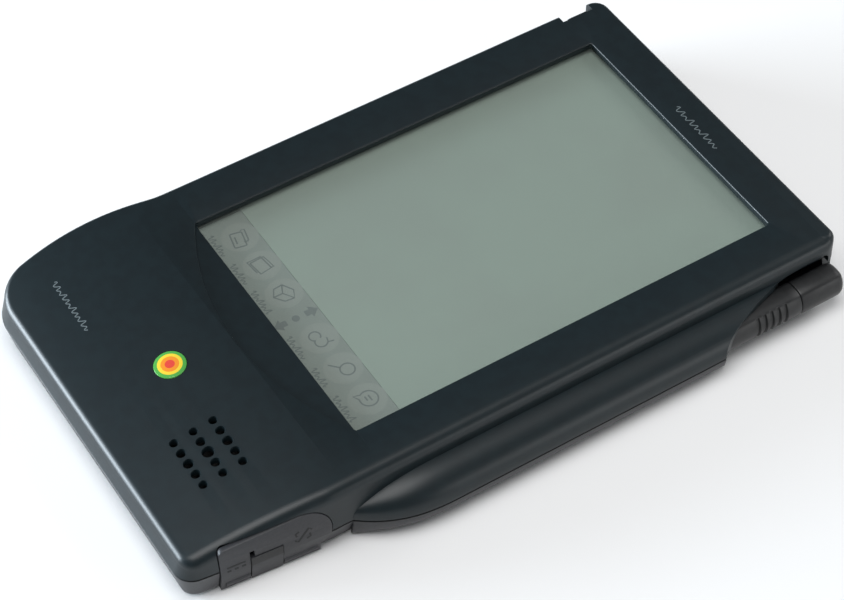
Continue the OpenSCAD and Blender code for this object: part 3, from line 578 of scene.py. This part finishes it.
def siloSections(upper):
    # the bulge grows by a power of the distance left to run; its upper half is an ellipse, its lower half squarer
    s = siloShape
    run = np.linspace(0.012, 1, 26) ** 1.3
    ys = np.append(s["lowY"] + s["growLength"] * run, s["highY"])
    share = np.append(1 - (1 - run) ** s["growPower"], 1.0)
    a = np.radians(np.linspace(90, 0, 18))
    seam = case["seamGap"]
    loops = []
    for y, g in zip(ys, share):
        w = (siloOut - case["halfWidth"]) * g
        if upper:
            h = s["crest"] * (s["startHeight"] + (1 - s["startHeight"]) * g)
            x = 51 + (1 + w) * np.cos(a)
            z = case["jointZ"] + np.maximum(h * np.sin(a), seam + s["edgeBevel"])
            x = np.concatenate([[s["rootX"], s["rootX"]], x, [50.88 + w + 1]])
            z = np.concatenate([[case["jointZ"] + seam, case["jointZ"] + h], z, [case["jointZ"] + seam]])
        else:
            x = 50.3 + (1.7 + w) * np.cos(a[::-1]) ** 0.55
            z = case["jointZ"] - np.maximum(s["depth"] * np.sin(a[::-1]) ** 0.9, seam + s["edgeBevel"])
            x = np.concatenate([[s["rootX"], 51.88 + w], x])
            z = np.concatenate([[case["jointZ"] - seam, case["jointZ"] - seam], z])
            x[-1] = s["rootX"]
        loops.append(np.column_stack([x, np.full_like(x, y), z]))
    return np.asarray(loops)


# the stylus is a flat-topped bar with softened corners
penShape = {"x": 50.3, "z": 4.0, "width": 7.6, "height": 8.0, "tipY": -30.5, "endY": 90.5, "capY": 76.9,
            "ribs": 5, "ribY": 63.45, "ribPitch": 2.1, "ribDepth": 0.55, "ribHalf": 0.62, "dome": 2.2}


def softened(points, times=3):
    # each pass cuts every corner off at 22 per cent of its two sides
    points = np.asarray(points, dtype=float)
    for _ in range(times):
        after = np.roll(points, -1, axis=0)
        points = np.stack([0.78 * points + 0.22 * after, 0.22 * points + 0.78 * after], axis=1).reshape(-1, 2)
    return points


def penSection(grow):
    # the section's eight corners in x and z, grown on all sides
    p = penShape
    x0, x1 = p["x"] - grow, p["x"] + p["width"] + grow
    z0, z1 = p["z"] - grow, p["z"] + p["height"] + grow
    return np.array([(x0, z0 + 0.8), (x0 + 0.8, z0), (x1 - 2, z0), (x1 - 0.5, p["z"] + 1.4), (x1, p["z"] + 3.4),
                     (x1 - 0.4, p["z"] + 5.6), (x1 - 1.9, z1), (x0, z1)])


def alongY(name, section, ys, smooth=creaseAngle):
    # a section in x and z carried along y
    loops = [np.column_stack([section[:, 0], np.full(len(section), y), section[:, 1]]) for y in ys]
    return loopSolid(name, loops, smooth)


def alongX(name, outline, xs):
    # an outline in y and z carried along x
    outline = np.asarray(outline)
    area = np.sum(outline[:, 0] * np.roll(outline[:, 1], -1) - np.roll(outline[:, 0], -1) * outline[:, 1])
    if area < 0:
        outline = outline[::-1]
    loops = [np.column_stack([np.full(len(outline), x), outline]) for x in xs]
    return loopSolid(name, np.asarray(loops)[:, ::-1])


def orientedOut(piece):
    # turns a closed piece the right way out by the sign of its volume
    own = meshPoints(piece)
    piece.data.calc_loop_triangles()
    corners = np.empty(len(piece.data.loop_triangles) * 3, dtype=int)
    piece.data.loop_triangles.foreach_get("vertices", corners)
    a, b, c = (own[corners.reshape(-1, 3)[:, k]] for k in range(3))
    if np.sum(a * np.cross(b, c)) < 0:
        piece.data.flip_normals()
    return piece


mouthShape = {"lowY": 51.9, "run": 21.2, "power": 1.38, "innerX": 51.6, "topZ": 15.2, "corner": 1.6}


def mouthCutters():
    # the open end of the silo: in plan its edge runs from the outer side to the case as a power curve,
    # the case's side is hollowed on beside the stylus, and below the joint the edge tucks under it
    m = mouthShape
    width = siloOut - m["innerX"]
    share = np.linspace(0, 1, 24)
    edge = np.column_stack([siloOut - width * share, m["lowY"] + m["run"] * share ** m["power"]])
    corners = np.array([(m["innerX"], 94), (64, 94), (64, m["lowY"] - 0.01)])
    plan = prism("mouthPlan", np.concatenate([edge, corners]), [(6.4, 0), (17, 0)])
    rise = np.array([(72.0, 13.0), (73.2, 14.0), (75.5, 14.6), (79, 15.05), (83, m["topZ"])])
    corner = arcPoints((89 - m["corner"], m["topZ"] - m["corner"]), m["corner"], 90, 0, 8)
    hollow = np.concatenate([[(72.0, 9.0)], rise, corner, [(89, 12.3), (94, 12.3), (94, 9.0)]])
    a = np.radians(np.linspace(0, 90, 14))
    lower = np.column_stack([61 - 9.1 * np.cos(a), 5.2 - 5.7 * np.sin(a)])
    under = np.concatenate([[(m["lowY"], 7.3)], lower, [(94, -0.5), (94, 7.3)]])
    return [orientedOut(plan), orientedOut(alongX("mouthHollow", hollow, (49.9, 52.2))),
            orientedOut(alongX("mouthUnder", under, (49.9, 64)))]


def boreCutter():
    return orientedOut(alongY("bore", penSection(0.3), (penShape["tipY"] - 1.5, 94)))


# side frame of the ports: turned by the taper about the top of the tapered side
sideTurn = np.array([[math.cos(taperAngle), math.sin(taperAngle), 0, case["halfWidth"]],
                     [-math.sin(taperAngle), math.cos(taperAngle), 0, case["taperTopY"]],
                     [0, 0, 1, 0], [0, 0, 0, 1]])
coverShape = {"lowY": -28.4, "round": 7.6, "topZ": 14.1, "cornerRadius": 1.6, "thick": 1.4, "proud": 0.2,
              "tab": (-20.8, -12.9), "tabTopZ": 9.5, "gap": 0.15, "hinge": (-1.7, 2.45), "lugRadius": 1.45,
              "edgeBevel": 0.22}
sideSlope = ([-0.35, 2.1, 7.0, 12.0, 18.0], [-1.15, -0.85, 0.05, -0.3, -0.75])  # heights and offsets of the side


def coverOutline(grow, lowZ, lowAngle=-52):
    # a low corner at one end, a large round at the other that narrows to the hinge edge
    s = coverShape
    centre = (-s["round"] - 0.4, 9.1)
    return np.concatenate([
        [(s["lowY"] - grow, lowZ)],
        arcPoints((s["lowY"] + s["cornerRadius"], s["topZ"]), s["cornerRadius"] + grow, 180, 100, 6),
        arcPoints(centre, s["round"] + grow, 92, lowAngle, 26),
        [(centre[0] + (s["round"] + grow) * math.cos(math.radians(lowAngle)) + 0.1, lowZ)]])


def coverSlab(name, lowY, highY, proud, thick):
    # a sheet that follows the side's own slope, in the side frame
    z = np.array([-0.35, 2.1, 4.5, 7.0, 9.5, 12.0, 15.0, 18.0])
    x = np.interp(z, *sideSlope) + proud
    section = np.concatenate([np.column_stack([x, z]), np.column_stack([x - thick, z])[::-1]])
    return orientedOut(alongY(name, section, (lowY, highY), 20))


def sideCutter(name, outline, xs):
    return transformed(orientedOut(alongX(name, outline, xs)), sideTurn)


def grilleCutters():
    g = {"centre": (24.4, -71.43), "pitch": (3.5, 5.25), "radius": 1.15, "middle": 1.4, "flare": 0.22}
    holes = []
    for col in range(-2, 3):
        for row in range(-1, 2):
            x, y = g["centre"][0] + g["pitch"][0] * col, g["centre"][1] + g["pitch"][1] * row
            r = g["middle"] if col == 0 and row == 0 else g["radius"] - 0.1 * abs(col)
            top = float(faceHeight(np.array([y]))[0])
            holes.append(turned("hole", (x, y), [(r, 9), (r, top - 0.4), (r + g["flare"], top + 0.05),
                                                 (r + g["flare"], top + 2)], 24))
    return holes


badgeShape = {
    "x": -2.6, "y": -66.6,
    # radius and height above the chin, up the pocket and up the domed disc
    "pocket": [(4.08, -0.9), (4.08, -0.1), (4.25, 0.05), (4.25, 2)],
    "disc": [(4.0, -0.88), (4.0, -0.05), (3.9, 0.08), (3.5, 0.16), (2.4, 0.24), (1.2, 0.28), (0.2, 0.3)],
}


def badgeTurn():
    # stands a piece made about the upright axis square on the chin at the badge
    lean = math.asin((case["chinY"] - badgeShape["y"]) / case["chinRadius"])
    turn = np.eye(4)
    turn[1:3, 1:3] = [[math.cos(lean), -math.sin(lean)], [math.sin(lean), math.cos(lean)]]
    turn[:3, 3] = [badgeShape["x"], badgeShape["y"], float(faceHeight(np.array([badgeShape["y"]]))[0])]
    return turn


windowShape = {"low": (-38.4, -39.8), "high": (38.4, 79.8), "corner": 0.8, "glassZ": 17.4, "glassThick": 1.5}
rampShape = {"radius": 76.0, "depth": 10.5, "floorZ": 18.2, "slope": 4.5, "lip": 0.2}


def windowCutter():
    w = windowShape
    z = case["faceZ"]
    return orientedOut(prism("window", roundedRect(w["low"], w["high"], w["corner"]),
                             [(12, 0), (z - 0.4, 0), (z - 0.18, 0.06), (z - 0.05, 0.2), (z + 0.01, 0.4),
                              (z + 2, 0.4)]))


def rampCutter():
    # a shallow wedge below the window, bounded by a wide arc
    r = rampShape
    lowY = windowShape["low"][1]
    centreY = lowY - r["depth"] + r["radius"]
    reach = math.degrees(math.asin(windowShape["high"][0] / r["radius"]))
    arc = arcPoints((0, centreY), r["radius"], 270 - reach, 270 + reach, 48)
    outline = np.concatenate([arc, [(windowShape["high"][0], lowY + 0.6), (windowShape["low"][0], lowY + 0.6)]])
    slope = math.tan(math.radians(r["slope"]))
    z = case["faceZ"]

    def rampFloor(flat):
        return r["floorZ"] + slope * (lowY - flat[:, 1])
    return orientedOut(prism("ramp", outline, [(rampFloor, 0), (z - 0.22, 0), (z - 0.06, 0.08), (z + 0.02, 0.25),
                                               (z + 2, 0.25)]))


# low and high corners of the openings through both shells, and of those through the front one alone
endOpenings = {"cardSlot": ((-35.9, 87, 2.9), (19.4, 94, 8.5)), "ejectHole": ((-43, 87, 2.8), (-38.2, 94, 7.9))}
frontOpenings = {"infraredHole": ((27, 87, 9), (41, 94, 14.5)), "sliderSlot": ((-53, 79, 11.8), (-49.4, 85.4, 14)),
                 "wheelSlot": ((-54, 34.6, 10.1), (-48, 45.4, 12.7))}
# the power slider's thumb recess: its outline in x and z, its ends in y, and the block that backs it
sliderRecess = {
    "outline": [(-54, 9.1), (-50.95, 9.9), (-50.95, 14.5), (-49, 19.6), (-49, 20.5), (-54, 20.5)],
    "ends": (78.2, 87.6), "boss": ((-51, 77, 14.1), (-47, 88.8, 17.9)),
}


def openingCutters(openings):
    return [brick(name, *corners) for name, corners in openings.items()]


def frontShell():
    shell = orientedOut(shellSolid("front_case", frontLevels(), False))
    silo = orientedOut(loopSolid("siloUpper", siloSections(True)))
    combine(shell, [silo], "UNION")
    cutters = [windowCutter(), rampCutter(), boreCutter()] + mouthCutters()
    cutters += [sideCutter("coverHole", coverOutline(0.2, -1), (-4.0, 3))]
    cutters += grilleCutters() + openingCutters(endOpenings)
    cutters.append(transformed(turned("badgePocket", (0, 0), badgeShape["pocket"], 64), badgeTurn()))
    cutters += openingCutters(frontOpenings)
    cutters.append(alongY("scoop", np.array(sliderRecess["outline"]), sliderRecess["ends"]))
    combine(shell, [orientedOut(brick("sliderBoss", *sliderRecess["boss"]))], "UNION")
    combine(shell, [orientedOut(c) for c in cutters])
    return shell


doorShape = {"low": (-55, -86), "high": (23, -46), "topZ": 2.25, "gap": 0.15,
             "grips": 5, "gripX": -46, "gripWide": 0.8, "gripPitch": 1.6, "gripY": (-74, -58), "gripTopZ": 0.9}


def doorBlock(name, grow):
    d = doorShape
    low = (d["low"][0], d["low"][1] - grow, -1)
    return orientedOut(brick(name, low, (d["high"][0] + grow, d["high"][1] + grow, d["topZ"])))


# each recess in the back: its places in x and y, its radius and the height it reaches
backShape = {"feet": ((-36, 82), (-36, -38), (36, 82), (36, -38)), "footRadius": 5.1, "footZ": 1.0,
             "screws": ((45.4, 78), (45.4, -36), (-46.3, 68), (-46.3, -34)), "screwRadius": 2.4, "screwZ": 2.1,
             "reset": (20, -38.2), "resetRadius": 1.2, "resetZ": 4,
             "label": ((-25, -8), (25, 34)), "labelCorner": 2, "labelZ": 0.7,
             "penFloor": ((44.3, 50, 0.5), (51.4, 89, 3.7))}


def rearShell():
    shell = orientedOut(shellSolid("rear_case", rearLevels(), True))
    silo = orientedOut(loopSolid("siloLower", siloSections(False)))
    combine(shell, [silo], "UNION")
    door = shell.copy()
    door.data = shell.data.copy()
    door.name = "sliding_battery_door"
    bpy.context.scene.collection.objects.link(door)
    combine(door, [doorBlock("doorKeep", 0)], "INTERSECT")
    d = doorShape
    grips = []
    for k in range(d["grips"]):
        x = d["gripX"] + d["gripPitch"] * k
        grip = brick("grip", (x, d["gripY"][0], -1), (x + d["gripWide"], d["gripY"][1], d["gripTopZ"]))
        grips.append(orientedOut(grip))
    combine(door, grips)
    b = backShape
    combine(shell, [orientedOut(brick("floorUnderPen", *b["penFloor"]))], "UNION")
    cutters = mouthCutters() + openingCutters(endOpenings)
    cutters += [boreCutter(), sideCutter("coverHole", coverOutline(0.2, -2), (-4.0, 3))]
    cutters += [doorBlock("doorCut", doorShape["gap"])]
    for spot in b["feet"]:
        cutters.append(turned("footRecess", spot, [(b["footRadius"], -1), (b["footRadius"], b["footZ"])], 40))
    for spot in b["screws"]:
        cutters.append(turned("screwRecess", spot, [(b["screwRadius"], -1), (b["screwRadius"], b["screwZ"])], 32))
    cutters.append(turned("resetHole", b["reset"], [(b["resetRadius"], -1), (b["resetRadius"], b["resetZ"])], 24))
    cutters.append(prism("labelRecess", roundedRect(*b["label"], b["labelCorner"]), [(-1, 0), (b["labelZ"], 0)]))
    combine(shell, [orientedOut(c) for c in cutters])
    tab = coverSlab("hingeTab", coverShape["tab"][0], coverShape["tab"][1], 0.35, 1.6)
    block = brick("tabKeep", (-5, -21, 0.7), (2, -12.5, coverShape["tabTopZ"]))
    combine(tab, [orientedOut(block)], "INTERSECT")
    transformed(tab, sideTurn)
    combine(shell, [orientedOut(tab)], "UNION")
    return shell, door


def jointLipsBareAndShaded(piece, low, high):
    # faces of the joint's lips, between two heights above the parting line, take the black finish: partly bare
    # plastic under the front shell's paint, partly painted shade that darkens the parting gap
    mesh = piece.data
    mesh.materials.append(finishes["nylon"])
    middles = np.array([tuple(f.center) for f in mesh.polygons]) / mm
    above = middles[:, 2] - jointHeight(middles[:, 1])
    inLip = (above > low) & (above < high)
    mesh.polygons.foreach_set("material_index", inLip.astype(np.int32))


front = frontShell()
finishPiece(front, "case", finishes["painted"], "case_plastic", "front_shell")
# the front shell's lips: bare plastic under the paint, whose black also stands as painted shade in the parting gap
jointLipsBareAndShaded(front, 0.0, case["seamGap"] + 0.09)
rear, door = rearShell()
finishPiece(rear, "case", finishes["textured"], "trim_plastic", "rear_shell")
# the rear shell's lips are the same moulding as its outside; their black is painted shade in the parting gap
jointLipsBareAndShaded(rear, -case["seamGap"] - 0.09, 1.3)
finishPiece(door, "door", finishes["textured"], "trim_plastic", "battery_door")
print("shells made", len(front.data.polygons), len(rear.data.polygons))


# stylus
def penPiece(name, ys, shrink, ribs=False):
    # the softened section carried along y, drawn in towards its middle by shrink at each station
    p = penShape
    section = softened(penSection(0))
    middle = np.array([p["x"] + p["width"] / 2, p["z"] + p["height"] / 2])
    away = section - middle
    ys = np.asarray(ys)[:, None]
    scale = 1 - np.asarray(shrink)[:, None] / (p["width"] / 2)
    x = middle[0] + away[None, :, 0] * scale
    z = middle[1] + away[None, :, 1] * scale
    if ribs:
        centres = p["ribY"] + p["ribPitch"] * np.arange(p["ribs"])
        near = np.min(np.abs(ys - centres[None, :]), axis=1)
        depth = p["ribDepth"] * np.clip((p["ribHalf"] - near) / 0.25, 0, 1)
        outer = np.clip((section[:, 0] - p["x"] - p["width"] + 1.7) / 0.5, 0, 1)
        outer = outer * np.clip((section[:, 1] - p["z"] - 0.6) / 0.4, 0, 1)
        x = x - depth[:, None] * outer[None, :]
    loops = np.stack([x, np.broadcast_to(ys, x.shape), z], axis=-1)
    return orientedOut(loopSolid(name, loops, 30))


def stylus():
    p = penShape
    ribs = p["ribY"] + p["ribPitch"] * np.arange(p["ribs"])
    half = p["ribHalf"]
    steps = np.concatenate([[r - half, r - 0.36, r + 0.36, r + half] for r in ribs])
    start = [p["tipY"] + 9, p["tipY"] + 9.4, 40, 61]
    ys = np.concatenate([start, steps, [74, p["capY"] - 0.45, p["capY"] - 0.15, p["capY"]]])
    shrink = np.zeros(len(ys))
    shrink[0] = 0.4
    shrink[-2:] = 0.12, 0.5
    barrel = penPiece("stylus_body", ys, shrink, True)
    # the end is domed: it draws in along a quarter circle
    turn = np.radians(np.linspace(0, 80, 9))
    domeYs = p["endY"] - p["dome"] + p["dome"] * np.sin(turn) / math.sin(turn[-1])
    ys = np.concatenate([[p["capY"], p["capY"] + 0.2, p["capY"] + 0.5], domeYs])
    shrink = np.concatenate([[0.5, 0.12, 0], p["dome"] * (1 - np.cos(turn))])
    cap = penPiece("stylus_end_cap", ys, shrink)
    return barrel, cap


barrel, cap = stylus()
finishPiece(barrel, "stylus", finishes["pen"], "trim_plastic", "stylus_barrel")
finishPiece(cap, "stylus", finishes["pen"], "trim_plastic", "stylus_cap")
print("stylus made")


# port cover
def portCover():
    s = coverShape
    slab = coverSlab("port_door", s["lowY"] - 1, 1, s["proud"], s["thick"])
    keep = orientedOut(alongX("coverKeep", coverOutline(0, 0.65), (-6, 3)))
    combine(slab, [keep], "INTERSECT")
    gap, (tabLow, tabHigh), tabTop = s["gap"], s["tab"], s["tabTopZ"]
    cuts = [brick("tabGap", (-5, tabLow - gap, -1), (2, tabHigh + gap, tabTop + gap)),
            brick("latchSlot", (-4, tabLow - gap, tabTop), (2, tabLow + 1, tabTop + 2.2))]
    combine(slab, [orientedOut(c) for c in cuts])
    edge = slab.modifiers.new("edge", "BEVEL")
    edge.width = s["edgeBevel"] * mm
    edge.segments = 2
    edge.limit_method = "ANGLE"
    edge.angle_limit = math.radians(40)
    keepShape(slab)
    lugs = []
    ring = arcPoints(s["hinge"], s["lugRadius"], 0, 360, 29)[:-1]
    for low, high in ((s["lowY"] + 1.2, tabLow - 0.3), (tabHigh + 0.3, -4)):
        lugs.append(orientedOut(alongY("lug", ring, (low, high))))
    combine(slab, lugs, "UNION")
    return transformed(slab, sideTurn)


cover = portCover()
finishPiece(cover, "cover", finishes["textured"], "trim_plastic", "port_cover")
print("port cover made")


# screen and badge
def screen():
    w = windowShape
    low, high = (w["low"][0] - 3.1, w["low"][1] - 1.4), (w["high"][0] + 3.1, w["high"][1] + 2.7)
    top = w["glassZ"]
    bottom = top - w["glassThick"] + 0.06
    outline = roundedRect(low, high, 1)
    return orientedOut(prism("writing_glass", outline, [(bottom, 0), (top - 0.1, 0), (top, -0.1)]))


glass = screen()
finishPiece(glass, "case", finishes["glass"], "screen_glass", "touch_glass")


def badgeDisc():
    return transformed(orientedOut(turned("enamel_roundel", (0, 0), badgeShape["disc"], 64)), badgeTurn())


badge = badgeDisc()
finishPiece(badge, "case", finishes["enamel"], "enamel", "badge")
print("screen and badge made")


# printed marks
def stroke(name, points, width, place):
    # a line of even width drawn through points, laid on a surface by place(points, rise)
    points = np.asarray(points, dtype=float)
    along = np.gradient(points, axis=0)
    along /= np.maximum(np.linalg.norm(along, axis=1, keepdims=True), 1e-9)
    side = np.column_stack([-along[:, 1], along[:, 0]]) * width / 2
    loops = np.stack([place(points + side, 0), place(points + side, 1),
                      place(points - side, 1), place(points - side, 0)], axis=1)
    return orientedOut(loopSolid(name, loops))


def patch(name, outline, place):
    # a filled outline laid on a surface by place(points, rise)
    outline = np.asarray(outline, dtype=float)
    return orientedOut(loopSolid(name, [place(outline, 0), place(outline, 1)]))


def onLevel(low, high):
    # a level surface: rise 0 gives the low height and rise 1 the high one
    return lambda flat, rise: np.column_stack([flat, np.full(len(flat), (low, high)[rise])])


def onFace(flat, rise):
    # the case's face, which turns down over the chin
    return np.column_stack([flat, faceHeight(flat[:, 1]) + (-0.05, 0.012)[rise]])


def onCover(flat, rise):
    # flat holds the distance along the side and the height
    x = np.interp(flat[:, 1], *sideSlope) + coverShape["proud"]
    local = np.column_stack([x + (-0.2, 0.04)[rise], flat])
    return local @ sideTurn[:3, :3].T + sideTurn[:3, 3]


def shifted(points, x, y, turn=0):
    # points turned by degrees about the middle and moved
    a = math.radians(turn)
    points = np.asarray(points, dtype=float)
    return points @ np.array([[math.cos(a), math.sin(a)], [-math.sin(a), math.cos(a)]]) + [x, y]


def scribble(length, height, waves):
    # an illegible line of writing: a leaning wave whose height wanders
    t = np.linspace(0, 1, waves * 8 + 1)
    lift = height * (0.5 + 0.5 * np.sin(waves * 2 * np.pi * t)) * (0.7 + 0.3 * np.cos(waves * 1.3 * np.pi * t))
    return np.column_stack([length * t - length / 2 + 0.25 * lift, lift])


iconRow = {"y": -31.5, "disc": 4.8, "line": 0.4, "size": 1.2, "wordY": -38.5, "wordHeight": 1.9,
           "middles": (-31.2, -20.2, -9.4, 7.5, 18.4, 29.5), "words": (7.6, 7.4, 8.4, 7.8, 6.4, 8.8),
           "wordLine": 0.3, "wave": 1.25, "arrowX": -0.9, "arrowSize": 1.1, "upY": -28.9, "downY": -37.4,
           "dotY": -33.2, "dotRadius": 1.0, "discZ": (15.9, 15.912), "inkZ": (15.905, 15.93)}


def iconLines(number):
    # the picture of one button, as lines about its middle
    if number == 0:
        card = np.concatenate([roundedRect((-2, -1.3), (2, 1.3), 0.3, 4), [(2, 1.0)]])
        hidden = np.array([(-1.6, 1.2), (-1.7, 2.1), (1.4, 2.1), (1.7, 1.9), (1.75, 1.1)])
        name = [(-1, -0.3), (1, -0.3)]
        return [shifted(card, 0.5, -0.7, -12), shifted(hidden, -0.3, -0.6, -12), shifted(name, 0.5, -0.9, -12)]
    if number == 1:
        page = np.array([(-1.7, -1.9), (-1.9, 1.4), (1.5, 1.9), (2.0, -1.4), (-1.7, -1.9)])
        under = np.array([(-2.2, 1.0), (-2.2, -2.3), (1.4, -1.9)])
        return [page, under, np.array([(-1.8, 0.9), (1.6, 1.3)])]
    if number == 2:
        top = np.array([(-2.2, 0.7), (0.2, 2.1), (2.2, 1.2), (-0.1, -0.3), (-2.2, 0.7)])
        sides = np.array([(-2.2, 0.7), (-2.0, -1.3), (-0.1, -2.4), (2.0, -0.9), (2.2, 1.2)])
        return [top, sides, np.array([(-0.1, -0.3), (-0.1, -2.4)])]
    if number == 3:
        curl = [arcPoints((-0.9, -0.6), 1.2, 40, 330, 16), arcPoints((1.0, -0.2), 1.3, 220, 420, 12)]
        curl = np.concatenate(curl)
        return [curl, np.array([(0.5, 1.3), (1.7, 1.0), (2.0, 2.2)])]
    if number == 4:
        return [arcPoints((0.7, 0.6), 1.5, 0, 360, 28), np.array([(-0.4, -0.5), (-2.2, -2.2)])]
    bubble = np.concatenate([arcPoints((0, 0.3), 1.9, -110, 215, 26), [(-2.0, -2.2), (-0.65, -1.49)]])
    return [bubble, np.array([(-0.8, 0.6), (0.8, 0.6)]), np.array([(-0.8, -0.2), (0.4, -0.2)])]


def stripPrints():
    # pale discs lie on the film, dark lines on the discs, both under the glass
    row = iconRow
    paleLevel, darkLevel = onLevel(*row["discZ"]), onLevel(*row["inkZ"])
    pale, dark = [], []
    for number, x in enumerate(row["middles"]):
        pale.append(patch("disc", arcPoints((x, row["y"]), row["disc"], 0, 360, 41)[:-1], paleLevel))
        for line in iconLines(number):
            line = np.asarray(line) * row["size"]
            dark.append(stroke("line", shifted(line, x, row["y"]), row["line"], darkLevel))
        long = row["words"][number]
        word = shifted(scribble(long, row["wordHeight"], round(long / row["wave"])), x - 0.6, row["wordY"])
        dark.append(stroke("word", word, row["wordLine"], darkLevel))
    arrow = np.array([(0, 1.7), (-1.7, -0.2), (-0.8, -0.2), (-0.8, -1.5), (0.8, -1.5), (0.8, -0.2), (1.7, -0.2)])
    arrow = arrow * row["arrowSize"]
    dark.append(patch("up", shifted(arrow, row["arrowX"], row["upY"]), darkLevel))
    dark.append(patch("down", shifted(arrow, row["arrowX"], row["downY"], 180), darkLevel))
    dot = arcPoints((row["arrowX"], row["dotY"]), row["dotRadius"], 0, 360, 25)[:-1]
    dark.append(patch("dot", dot, darkLevel))
    return joinMeshes("strip_button_discs", pale), joinMeshes("strip_button_lines", dark)


discs, lines = stripPrints()
finishPiece(discs, "case", finishes["inkPale"], "printed_film")
finishPiece(lines, "case", finishes["inkDark"], "printed_film")
# marks on the face: length, height, waves, place in x and y, and line width
faceWords = ((17.5, 1.9, 9, 1.6, 83.8, 0.3), (18.0, 1.6, 11, -33.0, -78.3, 0.26))
faceMarks = joinMeshes("face_marks", [stroke("mark", shifted(scribble(long, high, waves), x, y), width, onFace)
                                      for long, high, waves, x, y, width in faceWords])
finishPiece(faceMarks, "case", finishes["inkGrey"], "printed_film")
# marks on the cover, by width and points: a bar over three dashes, and a double arrow
coverLines = [
    (0.5, [(-26.8, 9.3), (-22.2, 9.3)]), (0.5, [(-26.8, 8.1), (-25.8, 8.1)]),
    (0.5, [(-25.0, 8.1), (-24.0, 8.1)]), (0.5, [(-23.2, 8.1), (-22.2, 8.1)]),
    (0.55, [(-9.8, 9.2), (-9.1, 8.4), (-6.2, 11.8), (-5.5, 11.0)]),
    (0.5, [(-6.9, 8.5), (-5.9, 8.9), (-6.1, 10.0)]), (0.5, [(-8.6, 11.8), (-9.6, 11.3), (-9.3, 10.3)]),
]
coverMarks = joinMeshes("cover_marks", [stroke("mark", path, width, onCover) for width, path in coverLines])
finishPiece(coverMarks, "cover", finishes["inkBlack"], "printed_film")
print("marks made")


# floor and world
studio = {"floorSize": 6.0, "floorColour": "#f2f2f2", "skyColour": (0.9, 0.95, 1.0, 1), "skyStrength": 0.15}
floorMesh = bpy.data.meshes.new("floor")
edge = studio["floorSize"] / 2
floorMesh.from_pydata([(-edge, -edge, 0), (edge, -edge, 0), (edge, edge, 0), (-edge, edge, 0)], [], [(0, 1, 2, 3)])
floorPiece = bpy.data.objects.new("floor", floorMesh)
bpy.context.scene.collection.objects.link(floorPiece)
floorMesh.materials.append(evenMaterial("paleFloor", studio["floorColour"], {"Roughness": 0.8}))
world = bpy.data.worlds.new("studio")
world.use_nodes = True
world.node_tree.nodes["Background"].inputs["Color"].default_value = studio["skyColour"]
world.node_tree.nodes["Background"].inputs["Strength"].default_value = studio["skyStrength"]
bpy.context.scene.world = world
print("floor and world placed")
